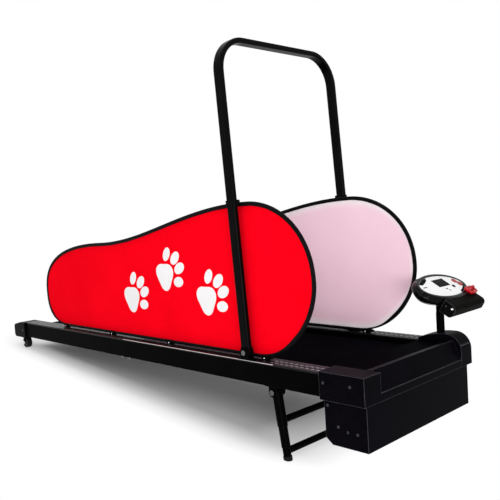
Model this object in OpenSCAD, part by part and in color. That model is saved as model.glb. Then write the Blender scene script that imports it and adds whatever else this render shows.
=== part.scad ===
// Dog treadmill: inclined running deck with folding front legs, a folding upright bar,
// fabric side panels on sprung rims, a front drive housing and a tilting console.
// Sizes are millimetres. Pieces are drawn in the deck's own frame, x forward from the rails' rear
// ends, y to the far side, z square to the deck from the rails' underside, and are then tipped by
// the incline so that the wheels and feet stand on z = 0.

/* [Frame] */
// Tilt of the deck in degrees, front end up
incline = 5.6; // [4:0.1:7]
// Length of the side rails
rail_len = 1742; // [1600:1:1900]
// Width of a side rail
rail_w = 63; // [55:1:75]
// Height of a side rail
rail_h = 60; // [58:1:66]
// Wall of a side rail
rail_wall = 2.5; // [2:0.1:4]
// Distance from the rails' rear ends to the seam between rail sections
seam_at = 807; // [600:1:1000]
// Open gap of the seam
seam_gap = 1.5; // [0.5:0.1:3]
// Thickness of the ribbed foot strips
foot_strip_t = 5; // [4:0.1:6]
// Ribs on a foot strip
foot_ribs = 6; // [3:1:8]

/* [Belt and rollers] */
// Width of the walking belt
belt_w = 413; // [380:1:430]
// Thickness of the walking belt
belt_t = 2.5; // [2:0.1:3.5]
// Gap from the belt's edge to the rail
belt_side_gap = 5; // [4:0.1:10]
// Height of the walking surface above the rails' underside
belt_top = 46; // [44:0.5:48]
// Radius of both rollers
roller_r = 18; // [17.5:0.1:19]
// Radius of the roller axles
axle_r = 6; // [5:0.1:7]
// Distance from the rails' rear ends to the rear roller
rear_roller_at = 45; // [45:1:80]
// Distance of the front roller ahead of the rails' front ends
front_roller_ahead = 58; // [56:1:62]
// Thickness of the running deck
deck_t = 18; // [15:0.5:20]

/* [Drive] */
// Radius of the roller's pulley
roller_pulley_r = 24; // [20:0.5:25]
// Radius of the motor's pulley
motor_pulley_r = 12; // [10:0.5:16]
// Radius of the motor body
motor_r = 48; // [40:1:50]
// Length of the motor body
motor_len = 180; // [120:1:200]
// Radius of the flywheel
flywheel_r = 50; // [40:1:51]

/* [Drive housing] */
// Depth of the lower housing below the rails' underside
tray_depth = 129; // [128:1:150]
// How far the lower housing's sides stand in from the rails' outer sides
tray_set_in = 13; // [9.5:0.5:17]
// Length of the lower housing
tray_len = 137; // [137:1:160]
// Sheet thickness of the housings
shell_t = 3; // [2:0.1:4]
// How far the hood's skirts stand out past the rails
hood_overhang = 4; // [3:0.5:10.5]
// Length of the hood ahead of the rails
hood_len = 146; // [146:1:170]
// Height of the hood's side strip above the rails' underside
hood_top = 70; // [70:0.5:76]
// Height of the hood's front ridge above the rails' underside
ridge_top = 73; // [72:0.5:80]
// Drop of the hood's skirt below the rails' underside
hood_drop = 6; // [4:0.5:10]
// Height of the far end cheek above the rails' underside
cheek_top = 90; // [86:0.5:100]
// Radius of the cheek's rounded front
cheek_r = 48; // [30:1:50]

/* [Upright bar] */
// Distance of the bar's pivot behind the rails' front ends
bar_back = 285; // [240:1:320]
// Height from the pivot to the middle of the cross bar
bar_rise = 931; // [800:1:1000]
// How far the uprights' middles stand in from the rails' outer sides
bar_set_in = 12.5; // [12:0.25:13.5]
// Lean of the bar behind square to the deck, in degrees
bar_lean = 3.1; // [2:0.1:4]
// Depth of the flat tube along the deck
tube_d = 33; // [28:0.5:36]
// Thickness of the flat tube
tube_t = 17; // [15:0.5:18]
// Corner radius of the flat tube
tube_corner = 5; // [3:0.5:7]
// Wall of the flat tube
tube_wall = 1.6; // [1.2:0.1:2.5]
// Bend radius at the middle of the flat tube
tube_bend = 100; // [70:1:120]

/* [Side panels] */
// Length of a side panel
panel_len = 1529; // [1400:1:1560]
// Height of a side panel above its base rod
panel_h = 458; // [400:1:500]
// Distance of the near panel's front end behind the rails' front ends
panel_back = 28; // [20:1:60]
// How much further forward the far panel sits
panel_shift = 24; // [0:1:26]
// How far the panels' middles stand in from the rails' outer sides
panel_set_in = 40.5; // [39.5:0.25:42.5]
// Width of the bound rim
rim_w = 13; // [10:0.5:18]
// Thickness of the bound rim
rim_t = 8; // [6:0.5:9]
// Thickness of the panel's cloth as a plain sheet
cloth_t = 2; // [1:0.1:3]
// Radius of the base rod
rod_r = 5; // [4.5:0.1:6]

/* [Legs and wheels] */
// Distance of the legs behind the rails' front ends
leg_back = 182; // [160:1:220]
// Lean of the legs from square to the deck, feet forward, in degrees
leg_lean = 8; // [4:0.5:10]
// How far the legs' middles stand in from the rails' outer sides
leg_set_in = 24.5; // [22:0.5:29.5]
// Radius of a leg tube
leg_r = 15; // [12:0.5:16]
// Wall of a leg tube
leg_wall = 2; // [1.5:0.1:3]
// Radius of the leg's cross bars
leg_bar_r = 10; // [8:0.5:12]
// Radius of a rear wheel
wheel_r = 24; // [20:0.5:25]
// Width of a rear wheel
wheel_w = 22; // [18:0.5:24]
// Distance of the wheels behind the rails' rear ends
wheel_back = 15; // [10:1:30]

/* [Console] */
// Distance of the post ahead of the rails' front ends
post_ahead = 63; // [60:1:70]
// How far the post's middle stands in from the far rail's outer side
post_set_in = 28.5; // [28.5:0.25:29.5]
// Radius of the post
post_r = 12.5; // [10:0.5:12.5]
// Height of the tilt pivot above the rails' underside
pivot_top = 178; // [170:1:230]
// Tilt of the console's face from the deck, in degrees
console_tilt = 31; // [20:1:40]
// Half length of the dish along the slope
dish_a = 60; // [55:1:66]
// Half width of the dish
dish_b = 122; // [118:1:128]
// Depth of the dish
dish_depth = 40; // [34:1:46]
// Distance from the tilt pivot to the dish's floor
dish_stand = 15; // [14:0.5:20]
// Width of the apron across the deck
apron_w = 185; // [178:1:193]
// Depth of the apron square to the face
apron_h = 40; // [36:1:41]

/* [Hidden] */
$fn = 48;
// Overrun of every cut
over = 1;
// Clearance between pieces that only pass each other
gap = 0.3;
// Running clearance of a shaft in its bore
run_fit = 0.05;
// Fineness of the round parts inside blends
blend_fn = 32;

// Rails and running surface
rail_in = belt_w / 2 + belt_side_gap;
rail_out = rail_in + rail_w;
strip_top = rail_h + foot_strip_t;
strip_base_share = 0.6;
rib_fill_share = 0.6;
cap_reach = 68;
cap_lap = 32;
cap_inner_t = 3;
cap_outer_t = 8;
cap_over_t = 3;
cap_under_t = 4;
cap_round = 16;
cap_slope = [40, 9];
cap_under = -gap - cap_under_t;
cap_over = rail_h + gap + cap_over_t;
cap_out = rail_out + gap + cap_outer_t;
strip_from = cap_lap + cap_outer_t;
roller_z = belt_top - belt_t - gap - roller_r;
belt_r = roller_r + gap;
front_roller_at = rail_len + front_roller_ahead;
roller_over = 1.5;
roller_half = belt_w / 2 + roller_over;
roller_wall = 3;
bearing_r = 14;
bearing_w = 8;
deck_top = belt_top - belt_t - gap;
deck_end_gap = 15;
cushion_t = 3;
cushion_size = [30, 80];
cushion_places_share = [-0.7, 0, 0.7];
cross_shares = [0.14, 0.38, 0.62, 0.86];
cross_size = 40;
cross_wall = 2;
cross_lift = 1.5;
cross_low = roller_z - belt_r + cross_lift;
cross_high = deck_top - deck_t - cushion_t;
axle_slot = 8;
axle_reach = 30;
splice_half = 75;
splice_t = 8;
splice_bolt_in = 9;
splice_head_t = 9;
splice_bolt_ahead = 30;
splice_bolt_behind = 14;
bolt_r = 4;
bolt_head_r = 7;
bolt_head_t = 4;
tension_recess = 6;
tension_y = rail_in + rail_w / 2;

// Drive housing
tray_half = rail_out - tray_set_in;
tray_in = tray_half - shell_t;
tray_gap = 1;
tray_rear = rail_len + tray_gap;
tray_front = tray_rear + tray_len;
tray_rim = 57;
tray_wall_top = 2;
tray_chamfer = [22, 17];
beam_t = 18.5;
beam_lap = 100;
beam_in = tray_in - beam_t;
beam_top = rail_h - rail_wall;
beam_end = tray_front - shell_t - gap;
hood_half = rail_out + hood_overhang;
hood_front = rail_len + hood_len;
hood_strip_t = 8;
hood_split_in = 2;
hood_split = roller_half - hood_split_in;
cheek_set_in = 4.5;
cheek_in = rail_in + cheek_set_in;
plate_top = 63;
ridge_w = 12;
ridge_back = 26;
ridge_rise = 14;
recess_low = 16;
lip_t = 3;
hood_lip_gap = 4;
hood_rib = [30, 18];
hood_rib_at = 16;
cheek_rear_top = 72;
cheek_flat = 12;
cheek_bend_shares = [[0.3, 0.55], [0.65, 1]];
socket_wall = 4;
screw_r = 2;
screw_head_r = 4.5;
screw_head_t = 2.4;
screw_len = 8;
hood_screws = [[15, 41], [102.5, 42]];
tray_screws_near = [[13, -23], [45, -76], [76, -85], [107, -85]];
tray_screws_far = [[22, -18], [116, -18]];
motor_ahead = 68;
motor_z = -72;
motor_shaft_r = 6;
motor_bell_t = 14;
motor_bell_share = 0.86;
rotor_tail = 10;
flywheel_t = 16;
flywheel_gap = 10;
pulley_gap = 2;
pulley_w = 22;
pulley_far = roller_half;
motor_end = pulley_far - pulley_gap - flywheel_t - flywheel_gap - motor_len;
drive_belt_t = 2.5;
drive_belt_w = 16;
cradle_side = 60;
cradle_half = [motor_ahead - tray_gap - tray_chamfer[0] - shell_t, cradle_side];
board_len = 98;
board_t = 2;
board_clear = 50;
board_wall_gap = 48.5;
board_from = rotor_tail - motor_end + board_clear;
board_size = [board_len, tray_in - board_wall_gap - board_from, board_t];
board_stand = 8;
board_stand_r = 4;
board_inset = 8;
chip_shares = [[0.2, 0.2, 0.22, 0.3], [0.62, 0.15, 0.3, 0.2], [0.3, 0.62, 0.16, 0.3], [0.6, 0.5, 0.12, 0.4],
    [0.78, 0.5, 0.12, 0.4]];
chip_heights = [18, 26, 12, 30, 30];
inlet_z = -85;
inlet_plate = [92, 3, 36];
inlet_plate_ahead = 20;
inlet_body = [42, 25, 26];
inlet_body_ahead = 42;
inlet_cavity = [30, 16, 20];
inlet_blade = [2, 10, 5];
inlet_blade_shares = [-0.3, 0, 0.3];
switch_ahead = 8;
switch_len = 22;
switch_r = 14;
switch_inset = 7;
switch_pin_r = 2;
switch_pin_len = 3;
switch_notch = 5;
switch_frame_t = 4;

// Upright bar, panels and their clips
bar_at = rail_len - bar_back;
bracket_t = 4;
bar_eye_r = tube_d / 2;
bar_z = strip_top + bracket_t + bar_eye_r + gap;
bar_bolt_r = 5;
bar_bolt_head_r = 8;
bar_bolt_head_t = 4.5;
bracket_in_t = 3.5;
bracket_half = 30;
bar_y = rail_out - bar_set_in;
clip_wall = 3.3;
clip_h = 20;
clip_pad_half = 10;
clip_gap = 0.6;
panel_y = rail_out - panel_set_in;
panel_rear = rail_len - panel_back - panel_len;
cradle_t = 2.4;
cradle_wall = 2.5;
cradle_len = 24;
cradle_rise = 6;
rod_z = strip_top + cradle_t + rod_r;
top_clip_at = rod_z + panel_h - rim_w - bar_z;
rod_shares = [0.085, 0.885];
base_clip_shares = [0.1, 0.33, 0.565, 0.865];
// Outline of a panel as shares of its length and height: rear-most point, rear shoulder with its
// slope, highest point, front-most point, and the pulls of the curves between them
rear_h_share = 0.32;
shoulder_shares = [0.3, 0.75];
shoulder_slope_share = 0.03;
crest_share = 0.836;
front_h_share = 0.49;
base_rear_share = 0.11;
base_front_share = 0.846;
rear_low_pull_shares = [0, 0.2];
rear_high_pull_share = 0.64;
shoulder_pull_shares = [0.164, 0.194];
crest_pull_shares = [0.196, 0.092];
front_pull_shares = [0.788, 0.263];
base_front_pull_share = 0.938;
curve_steps = 12;

// Legs and wheels
leg_at = rail_len - leg_back;
leg_y = rail_out - leg_set_in;
leg_pivot_z = -bracket_t - leg_r - gap;
leg_bracket_half = 28;
leg_bolt_r = 5;
leg_eye_share = 0.87;
leg_draw_shares = [1, 0.88, 0.78];
leg_step_drop = 100;
leg_step_rise = 36.74468;
foot_h = 11;
foot_sole = 6;
leg_bar_drop = 84;
leg_bar_rise = 24.74468;
wheel_z = cap_under - bracket_t - wheel_r - 2 * gap;
wheel_y = leg_y;
wheel_axle_r = 4;
wheel_hub_share = 0.55;
wheel_recess = 2;
wheel_bracket_half = 14;

// Console
post_at = rail_len + post_ahead;
post_y = rail_out - post_set_in;
post_wall = 2;
tongue = [20, 12];
tongue_seat = 28;
tongue_r = 10;
pin_r = 4;
pin_head_r = 6;
pin_head_t = 2.5;
lug_t = 5;
lug_r = 9;
dish_back = 19;
dish_off = 2;
dish_shrink = 15;
dish_rim = 5;
dish_belly = 9;
belly_share = 0.56;
dish_wall = 3;
dish_ledge = 4;
dish_step_share = 0.55;
face_rim = 8;
face_t = 3;
face_z = dish_stand + dish_depth - dish_rim;
display_size = [36, 64];
display_at = [-15, 13];
display_sink = 2;
display_proud = 0.6;
button_r = 5;
start_r = 4;
button_flange = 1.5;
button_tail = 4;
button_proud = 2.5;
button_collar_t = 1.5;
faster_at = [-9.5, 88];
slower_at = [9, 96];
start_at = [12, 51];
apron_front = 84;
apron_rear = 4;
apron_low = 13;
apron_round = 14;
apron_off = 16.5;
apron_slant = [40, 60];
key_at = [34, 88];
key_size = [32, 42, 11];
key_round = 9;
key_stem_r = 4;
key_stem_len = 12;
key_bar = [7, 30, 8];

// Place of the deck frame: wheels and feet on z = 0, the whole part centred on the origin
frame_z = wheel_r + wheel_back * sin(incline) - wheel_z * cos(incline);
reach_rear = (cap_round - cap_reach) * cos(incline)
    - (cap_over - cap_slope[1] - cap_round) * sin(incline) - cap_round;
reach_front = hood_front * cos(incline) + hood_drop * sin(incline);
frame_x = -(reach_rear + reach_front) / 2;
dish_far = post_y + dish_off + dish_b + dish_belly;
frame_y = -(dish_far - cap_out) / 2;

// Length of a leg from its pivot to the floor
leg_len = (frame_z + leg_at * sin(incline) + leg_pivot_z * cos(incline)) / cos(leg_lean + incline);
leg_steps = [leg_step_drop, leg_len - leg_step_rise];
leg_bar_drops = [leg_bar_drop, leg_len - leg_bar_rise];

// Points on a cubic curve between a and d, without its last point
function cubic(a, b, c, d) = [for (i = [0 : curve_steps - 1]) let (t = i / curve_steps)
    pow(1 - t, 3) * a + 3 * pow(1 - t, 2) * t * b + 3 * (1 - t) * t * t * c + pow(t, 3) * d];

// Points on an arc about c, degrees from a0 to a1
function arc(c, r, a0, a1) = [for (i = [0 : curve_steps]) let (a = a0 + (a1 - a0) * i / curve_steps)
    c + r * [cos(a), sin(a)]];

function unit(v) = v / norm(v);
function left_of(v) = [-v[1], v[0]];

// A closed outline, counter-clockwise, drawn in by d
function inset(points, d) = let (n = len(points)) [for (i = [0 : n - 1])
    let (a = left_of(unit(points[i] - points[(i + n - 1) % n])),
        b = left_of(unit(points[(i + 1) % n] - points[i])))
    points[i] + d * (a + b) / (1 + a * b)];

// An ellipse with half axes a and b
function oval(a, b) = [for (i = [0 : $fn - 1]) [a * cos(360 * i / $fn), b * sin(360 * i / $fn)]];

// Outline of a side panel in shares, counter-clockwise from its lower front
shoulder = shoulder_shares;
crest = [crest_share, 1];
front_most = [1, front_h_share];
rear_most = [0, rear_h_share];
base_front = [base_front_share, 0];
base_rear = [base_rear_share, 0];
panel_shares = concat(
    cubic(base_front, [base_front_pull_share, 0], [1, front_pull_shares[1]], front_most),
    cubic(front_most, [1, front_pull_shares[0]], crest + [crest_pull_shares[1], 0], crest),
    cubic(crest, crest - [crest_pull_shares[0], 0],
        shoulder + shoulder_pull_shares[1] * [1, shoulder_slope_share], shoulder),
    cubic(shoulder, shoulder - shoulder_pull_shares[0] * [1, shoulder_slope_share],
        [0, rear_high_pull_share], rear_most),
    cubic(rear_most, [0, rear_low_pull_shares[1]], [rear_low_pull_shares[0], 0], base_rear),
    [base_rear]);
panel_outline = [for (p = panel_shares) [p[0] * panel_len, p[1] * panel_h]];

// Profile of the far end cheek along the deck, counter-clockwise
cheek_start = [rail_len, cheek_rear_top];
cheek_crest = [hood_front - cheek_r - cheek_flat, cheek_top];
cheek_run = cheek_crest - cheek_start;
function cheek_pull(s) = cheek_start + [s[0] * cheek_run[0], s[1] * cheek_run[1]];
cheek_curve = cubic(cheek_start, cheek_pull(cheek_bend_shares[0]), cheek_pull(cheek_bend_shares[1]),
    cheek_crest);
cheek_front = arc([hood_front - cheek_r, cheek_top - cheek_r], cheek_r, 0, 90);
cheek_profile = concat([[rail_len, -hood_drop], [hood_front, -hood_drop]], cheek_front,
    [for (i = [len(cheek_curve) - 1 : -1 : 0]) cheek_curve[i]]);

// Profile of a rear end cap along the deck, its top falling away to the rear
cap_rear_mid = cap_round - cap_reach;
cap_profile = concat([[cap_lap, cap_over], [cap_rear_mid + cap_slope[0], cap_over]],
    arc([cap_rear_mid, cap_over - cap_slope[1] - cap_round], cap_round, 90, 180),
    arc([cap_rear_mid, cap_under + cap_round], cap_round, 180, 270), [[cap_lap, cap_under]]);

// Profile of the lower housing along the deck, counter-clockwise
tray_profile = [[tray_front, tray_rim], [tray_rear, tray_rim],
    [tray_rear, -tray_depth + tray_chamfer[1]], [tray_rear + tray_chamfer[0], -tray_depth],
    [tray_front, -tray_depth]];

// Profile of the hood's middle along the deck, over its top and back underneath
plate_low = plate_top - shell_t;
ridge_front = hood_front - ridge_back;
ridge_rear = ridge_front - ridge_w;
lip_rear = hood_front - lip_t;
hood_profile = [[rail_len, belt_top + hood_lip_gap], [rail_len + shell_t, belt_top + hood_lip_gap],
    [rail_len + shell_t, plate_low], [ridge_rear - ridge_rise + shell_t / 2, plate_low],
    [ridge_rear + shell_t / 2, ridge_top - shell_t], [ridge_front - shell_t, ridge_top - shell_t],
    [lip_rear - shell_t, recess_low - shell_t], [lip_rear, recess_low - shell_t],
    [lip_rear, -hood_drop], [hood_front, -hood_drop], [hood_front, recess_low],
    [lip_rear, recess_low], [ridge_front, ridge_top], [ridge_rear, ridge_top],
    [ridge_rear - ridge_rise, plate_top], [rail_len, plate_top]];

// Helpers
module in_deck() {
    translate([frame_x, frame_y, frame_z]) rotate([0, -incline, 0]) children();
}

module near_side() {
    mirror([0, 1, 0]) children();
}

module both_sides() {
    children();
    near_side() children();
}

module block(low, high) {
    translate(low) cube(high - low);
}

// A round bar across the deck
module rod_across(u, w, r, y0, y1) {
    translate([u, y0, w]) rotate([-90, 0, 0]) cylinder(r = r, h = y1 - y0);
}

// A round bar along the deck
module rod_along(u0, u1, y, w, r) {
    translate([u0, y, w]) rotate([0, 90, 0]) cylinder(r = r, h = u1 - u0);
}

// A profile in length and height, drawn across the deck from y0 to y1
module across(y0, y1) {
    translate([0, y1, 0]) rotate([90, 0, 0]) linear_extrude(y1 - y0) children();
}

// A rectangle with round corners about its middle
module round_rect(a, b, r) {
    square([a - 2 * r, b], center = true);
    square([a, b - 2 * r], center = true);
    for (x = [-1, 1], y = [-1, 1]) translate([x * (a / 2 - r), y * (b / 2 - r)]) circle(r);
}

// Side rails
module rail(u0, u1) {
    difference() {
        block([u0, rail_in, 0], [u1, rail_out, rail_h]);
        block([u0 - over, rail_in + rail_wall, rail_wall],
            [u1 + over, rail_out - rail_wall, rail_h - rail_wall]);
        splice_places() translate([0, 0, -over]) cylinder(r = bolt_r + run_fit, h = rail_wall + 2 * over);
        rear_axle_slot();
    }
}

module rear_axle_slot() {
    r = axle_r + gap;
    for (u = [-axle_slot, axle_slot])
        rod_across(rear_roller_at + u, roller_z, r, rail_in - over, rail_in + rail_wall + over);
    block([rear_roller_at - axle_slot, rail_in - over, roller_z - r],
        [rear_roller_at + axle_slot, rail_in + rail_wall + over, roller_z + r]);
}

module splice_places() {
    for (u = [-splice_bolt_behind, splice_bolt_ahead])
        translate([seam_at + u, rail_out - splice_bolt_in, 0]) children();
}

module rail_rear() {
    rail(0, seam_at - seam_gap / 2);
}

module rail_front() {
    rail(seam_at + seam_gap / 2, rail_len);
}

module rail_rear_near() {
    color("#1b1b1c") in_deck() near_side() rail_rear();
}

module rail_rear_far() {
    color("#1b1b1c") in_deck() rail_rear();
}

module rail_front_near() {
    color("#1b1b1c") in_deck() near_side() rail_front();
}

module rail_front_far() {
    color("#1b1b1c") in_deck() rail_front();
}

// Ribbed strips that a handler stands on
module foot_strip() {
    pitch = rail_w / foot_ribs;
    base = foot_strip_t * strip_base_share;
    block([strip_from, rail_in, rail_h], [rail_len, rail_out, rail_h + base]);
    for (i = [0 : foot_ribs - 1]) {
        y = rail_in + (i + 0.5) * pitch;
        half = pitch * rib_fill_share / 2;
        block([strip_from, y - half, rail_h], [rail_len, y + half, strip_top]);
    }
}

module foot_strip_near() {
    color("#222224") in_deck() near_side() foot_strip();
}

module foot_strip_far() {
    color("#222224") in_deck() foot_strip();
}

module splice_plates() {
    color("#2c2c2e") in_deck() both_sides() difference() {
        block([seam_at - splice_half, rail_in + rail_wall, rail_wall],
            [seam_at + splice_half, rail_out - rail_wall, rail_wall + splice_t]);
        splice_places() cylinder(r = bolt_r + run_fit, h = rail_wall + splice_t + over);
    }
}

module splice_bolts() {
    color("#c8c8c8") in_deck() both_sides() splice_places() {
        cylinder(r = bolt_r, h = rail_wall + splice_t);
        translate([0, 0, -splice_head_t]) cylinder(r = bolt_head_r, h = splice_head_t);
    }
}

// Running deck
module cross_members() {
    color("#1b1b1c") in_deck() for (s = cross_shares) translate([s * rail_len, 0, 0]) difference() {
        block([-cross_size / 2, -rail_in, cross_low], [cross_size / 2, rail_in, cross_high]);
        block([-cross_size / 2 + cross_wall, -rail_in - over, cross_low + cross_wall],
            [cross_size / 2 - cross_wall, rail_in + over, cross_high - cross_wall]);
    }
}

module deck_cushions() {
    color("#303030") in_deck() for (s = cross_shares, y = cushion_places_share)
        translate([s * rail_len, y * rail_in, cross_high + cushion_t / 2])
            cube([cushion_size[0], cushion_size[1], cushion_t], center = true);
}

module deck_board() {
    color("#5a4632") in_deck()
        block([rear_roller_at + roller_r + deck_end_gap, -rail_in + gap, deck_top - deck_t],
            [front_roller_at - roller_r - deck_end_gap, rail_in - gap, deck_top]);
}

module belt_loop(r, half) {
    block([rear_roller_at, -half, roller_z - r], [front_roller_at, half, roller_z + r]);
    for (u = [rear_roller_at, front_roller_at]) rod_across(u, roller_z, r, -half, half);
}

module walking_belt() {
    color("#17171a") in_deck() difference() {
        belt_loop(belt_r + belt_t, belt_w / 2);
        belt_loop(belt_r, belt_w / 2 + over);
    }
}

// Rollers, axles and bearings
module roller(u) {
    difference() {
        rod_across(u, roller_z, roller_r, -roller_half, roller_half);
        rod_across(u, roller_z, roller_r - roller_wall, -roller_half + bearing_w + gap,
            roller_half - bearing_w - gap);
        rod_across(u, roller_z, bearing_r + run_fit, -roller_half - over, roller_half + over);
    }
}

module rear_roller() {
    color("#9a9a9c") in_deck() roller(rear_roller_at);
}

module front_roller() {
    color("#9a9a9c") in_deck() roller(front_roller_at);
}

module roller_axles() {
    color("#b0b0b2") in_deck() {
        rod_across(rear_roller_at, roller_z, axle_r, -rail_in - axle_reach - rail_w / 4,
            rail_in + axle_reach + rail_w / 4);
        rod_across(front_roller_at, roller_z, axle_r, -tray_in, tray_in);
    }
}

module roller_bearings() {
    color("#8c8c8e") in_deck() for (u = [rear_roller_at, front_roller_at]) both_sides() difference() {
        rod_across(u, roller_z, bearing_r, roller_half - bearing_w, roller_half - gap);
        rod_across(u, roller_z, axle_r + run_fit, roller_half - bearing_w - over, roller_half + over);
    }
}

// Drive train
module roller_pulley() {
    color("#9a9a9c") in_deck() near_side() difference() {
        rod_across(front_roller_at, roller_z, roller_pulley_r, pulley_far, pulley_far + pulley_w);
        rod_across(front_roller_at, roller_z, axle_r + gap, pulley_far - over, pulley_far + pulley_w + over);
    }
}

module drive_loop(t) {
    hull() {
        translate([front_roller_at, roller_z]) circle(roller_pulley_r + gap + t, $fn = blend_fn);
        translate([rail_len + motor_ahead, motor_z]) circle(motor_pulley_r + gap + t, $fn = blend_fn);
    }
}

module drive_belt() {
    middle = pulley_far + pulley_w / 2;
    color("#202020") in_deck() near_side()
        across(middle - drive_belt_w / 2, middle + drive_belt_w / 2) difference() {
            drive_loop(drive_belt_t);
            drive_loop(0);
        }
}

module motor_rod(r, y0, y1) {
    rod_across(rail_len + motor_ahead, motor_z, r, y0, y1);
}

module motor_body() {
    color("#3a3a3c") in_deck() near_side() difference() {
        union() {
            motor_rod(motor_r, motor_end + motor_bell_t, motor_end + motor_len - motor_bell_t);
            motor_rod(motor_r * motor_bell_share, motor_end, motor_end + motor_len);
        }
        motor_rod(motor_shaft_r + run_fit, motor_end - over, motor_end + motor_len + over);
    }
}

module motor_cradle() {
    color("#1b1b1c") in_deck() near_side() difference() {
        block([rail_len + motor_ahead - cradle_half[0], motor_end + motor_len / 2 - cradle_half[1],
            -tray_depth + shell_t],
            [rail_len + motor_ahead + cradle_half[0], motor_end + motor_len / 2 + cradle_half[1], motor_z]);
        motor_rod(motor_r + run_fit, motor_end - over, motor_end + motor_len + over);
    }
}

module motor_rotor() {
    flywheel_at = motor_end + motor_len + flywheel_gap;
    color("#a0a0a2") in_deck() near_side() {
        motor_rod(motor_shaft_r, motor_end - rotor_tail, pulley_far + pulley_w);
        motor_rod(flywheel_r, flywheel_at, flywheel_at + flywheel_t);
        motor_rod(motor_pulley_r, pulley_far, pulley_far + pulley_w);
    }
}

module control_board() {
    low = [tray_rear + tray_chamfer[0] + shell_t, board_from, -tray_depth + shell_t];
    color("#1f6b3a") in_deck() translate(low) {
        translate([0, 0, board_stand]) cube(board_size);
        for (x = [board_inset, board_size[0] - board_inset], y = [board_inset, board_size[1] - board_inset])
            translate([x, y, 0]) cylinder(r = board_stand_r, h = board_stand);
        for (i = [0 : len(chip_shares) - 1]) {
            c = chip_shares[i];
            translate([c[0] * board_size[0], c[1] * board_size[1], board_stand + board_size[2]])
                cube([c[2] * board_size[0], c[3] * board_size[1], chip_heights[i]]);
        }
    }
}

// Front structure and housings
module front_beams() {
    color("#242426") in_deck() both_sides() difference() {
        block([rail_len - beam_lap, beam_in, rail_wall], [beam_end, tray_in, beam_top]);
        rod_across(front_roller_at, roller_z, axle_r + run_fit, beam_in - over, tray_in + over);
    }
}

module screw_places(places) {
    for (p = places) translate([rail_len + p[0], 0, p[1]]) children();
}

module lower_housing() {
    color("#1a1a1c") in_deck() difference() {
        across(-tray_half, tray_half) polygon(tray_profile);
        across(-tray_in, tray_in) polygon(inset(tray_profile, shell_t));
        block([tray_rear - over, -tray_in, tray_wall_top], [tray_front + over, tray_in, tray_rim + over]);
        screw_places(tray_screws_far) tray_screw_hole();
        near_side() screw_places(tray_screws_near) tray_screw_hole();
        inlet_opening();
    }
}

module tray_screw_hole() {
    rod_across(0, 0, screw_r + run_fit, tray_in - over, tray_half + over);
}

module inlet_opening() {
    body = rail_len + inlet_body_ahead;
    block([body - gap, tray_in - over, inlet_z - inlet_body[2] / 2 - gap],
        [body + inlet_body[0] + gap, tray_half + over, inlet_z + inlet_body[2] / 2 + gap]);
    switch_box(gap, tray_in - over, tray_half + over);
}

// The rocker's frame, from y0 to y1, grown by g
module switch_box(g, y0, y1) {
    u = rail_len + inlet_plate_ahead + switch_ahead;
    edge = gap + switch_frame_t + g;
    block([u - edge, y0, inlet_z - switch_r - edge / 2],
        [u + switch_len + edge, y1, inlet_z + switch_r + edge / 2]);
}

module hood() {
    color("#1d1d20") in_deck() {
        across(-hood_split - shell_t / 2, cheek_in) polygon(hood_profile);
        near_side() hood_side();
    }
}

// The hood's side with its strip, skirt and front wall, open below
module hood_side() {
    strip_low = hood_top - hood_strip_t;
    difference() {
        block([rail_len, hood_split, -hood_drop], [hood_front, hood_half, hood_top]);
        difference() {
            block([rail_len - over, hood_split + shell_t, -hood_drop - over],
                [hood_front - shell_t, hood_half - shell_t, strip_low]);
            block([rail_len + hood_rib_at, tray_in - hood_rib[1], beam_top],
                [rail_len + hood_rib_at + hood_rib[0], tray_in, hood_top]);
        }
        block([rail_len - over, hood_split - over, -hood_drop - over],
            [ridge_rear, hood_split + shell_t + over, plate_low]);
        block([rail_len - over, hood_split - over, -hood_drop - over],
            [hood_front - shell_t, hood_split + shell_t + over, tray_wall_top + gap]);
        screw_places(hood_screws) rod_across(0, 0, screw_r + run_fit, hood_half - shell_t - over,
            hood_half + over);
    }
}

module end_cheek() {
    color("#1d1d20") in_deck() difference() {
        union() {
            difference() {
                across(cheek_in, hood_half) polygon(cheek_profile);
                across(cheek_in + shell_t, hood_half - shell_t) polygon(inset(cheek_profile, shell_t));
                block([rail_len - over, cheek_in + shell_t, -hood_drop - over],
                    [hood_front - shell_t, hood_half - shell_t, rail_h]);
                block([rail_len - over, cheek_in - over, -hood_drop - over],
                    [ridge_front, cheek_in + shell_t, plate_low]);
                block([rail_len - over, cheek_in - over, -hood_drop - over],
                    [lip_rear, cheek_in + shell_t, tray_wall_top + gap]);
            }
            intersection() {
                across(cheek_in, hood_half) polygon(cheek_profile);
                union() {
                    translate([post_at, post_y, beam_top])
                        cylinder(r = post_r + gap + socket_wall, h = cheek_top);
                    block([rail_len + hood_rib_at, tray_in - hood_rib[1], beam_top],
                        [rail_len + hood_rib_at + hood_rib[0], tray_in, cheek_top]);
                }
            }
        }
        translate([post_at, post_y, 0]) cylinder(r = post_r + run_fit, h = cheek_top + over);
        screw_places(hood_screws) rod_across(0, 0, screw_r + run_fit, hood_half - shell_t - over,
            hood_half + over);
    }
}

module screw(face) {
    rod_across(0, 0, screw_r, face - screw_len, face);
    rod_across(0, 0, screw_head_r, face, face + screw_head_t);
}

module housing_screws() {
    color("#8a8a8c") in_deck() {
        both_sides() screw_places(hood_screws) screw(hood_half);
        screw_places(tray_screws_far) screw(tray_half);
        near_side() screw_places(tray_screws_near) screw(tray_half);
    }
}

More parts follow.
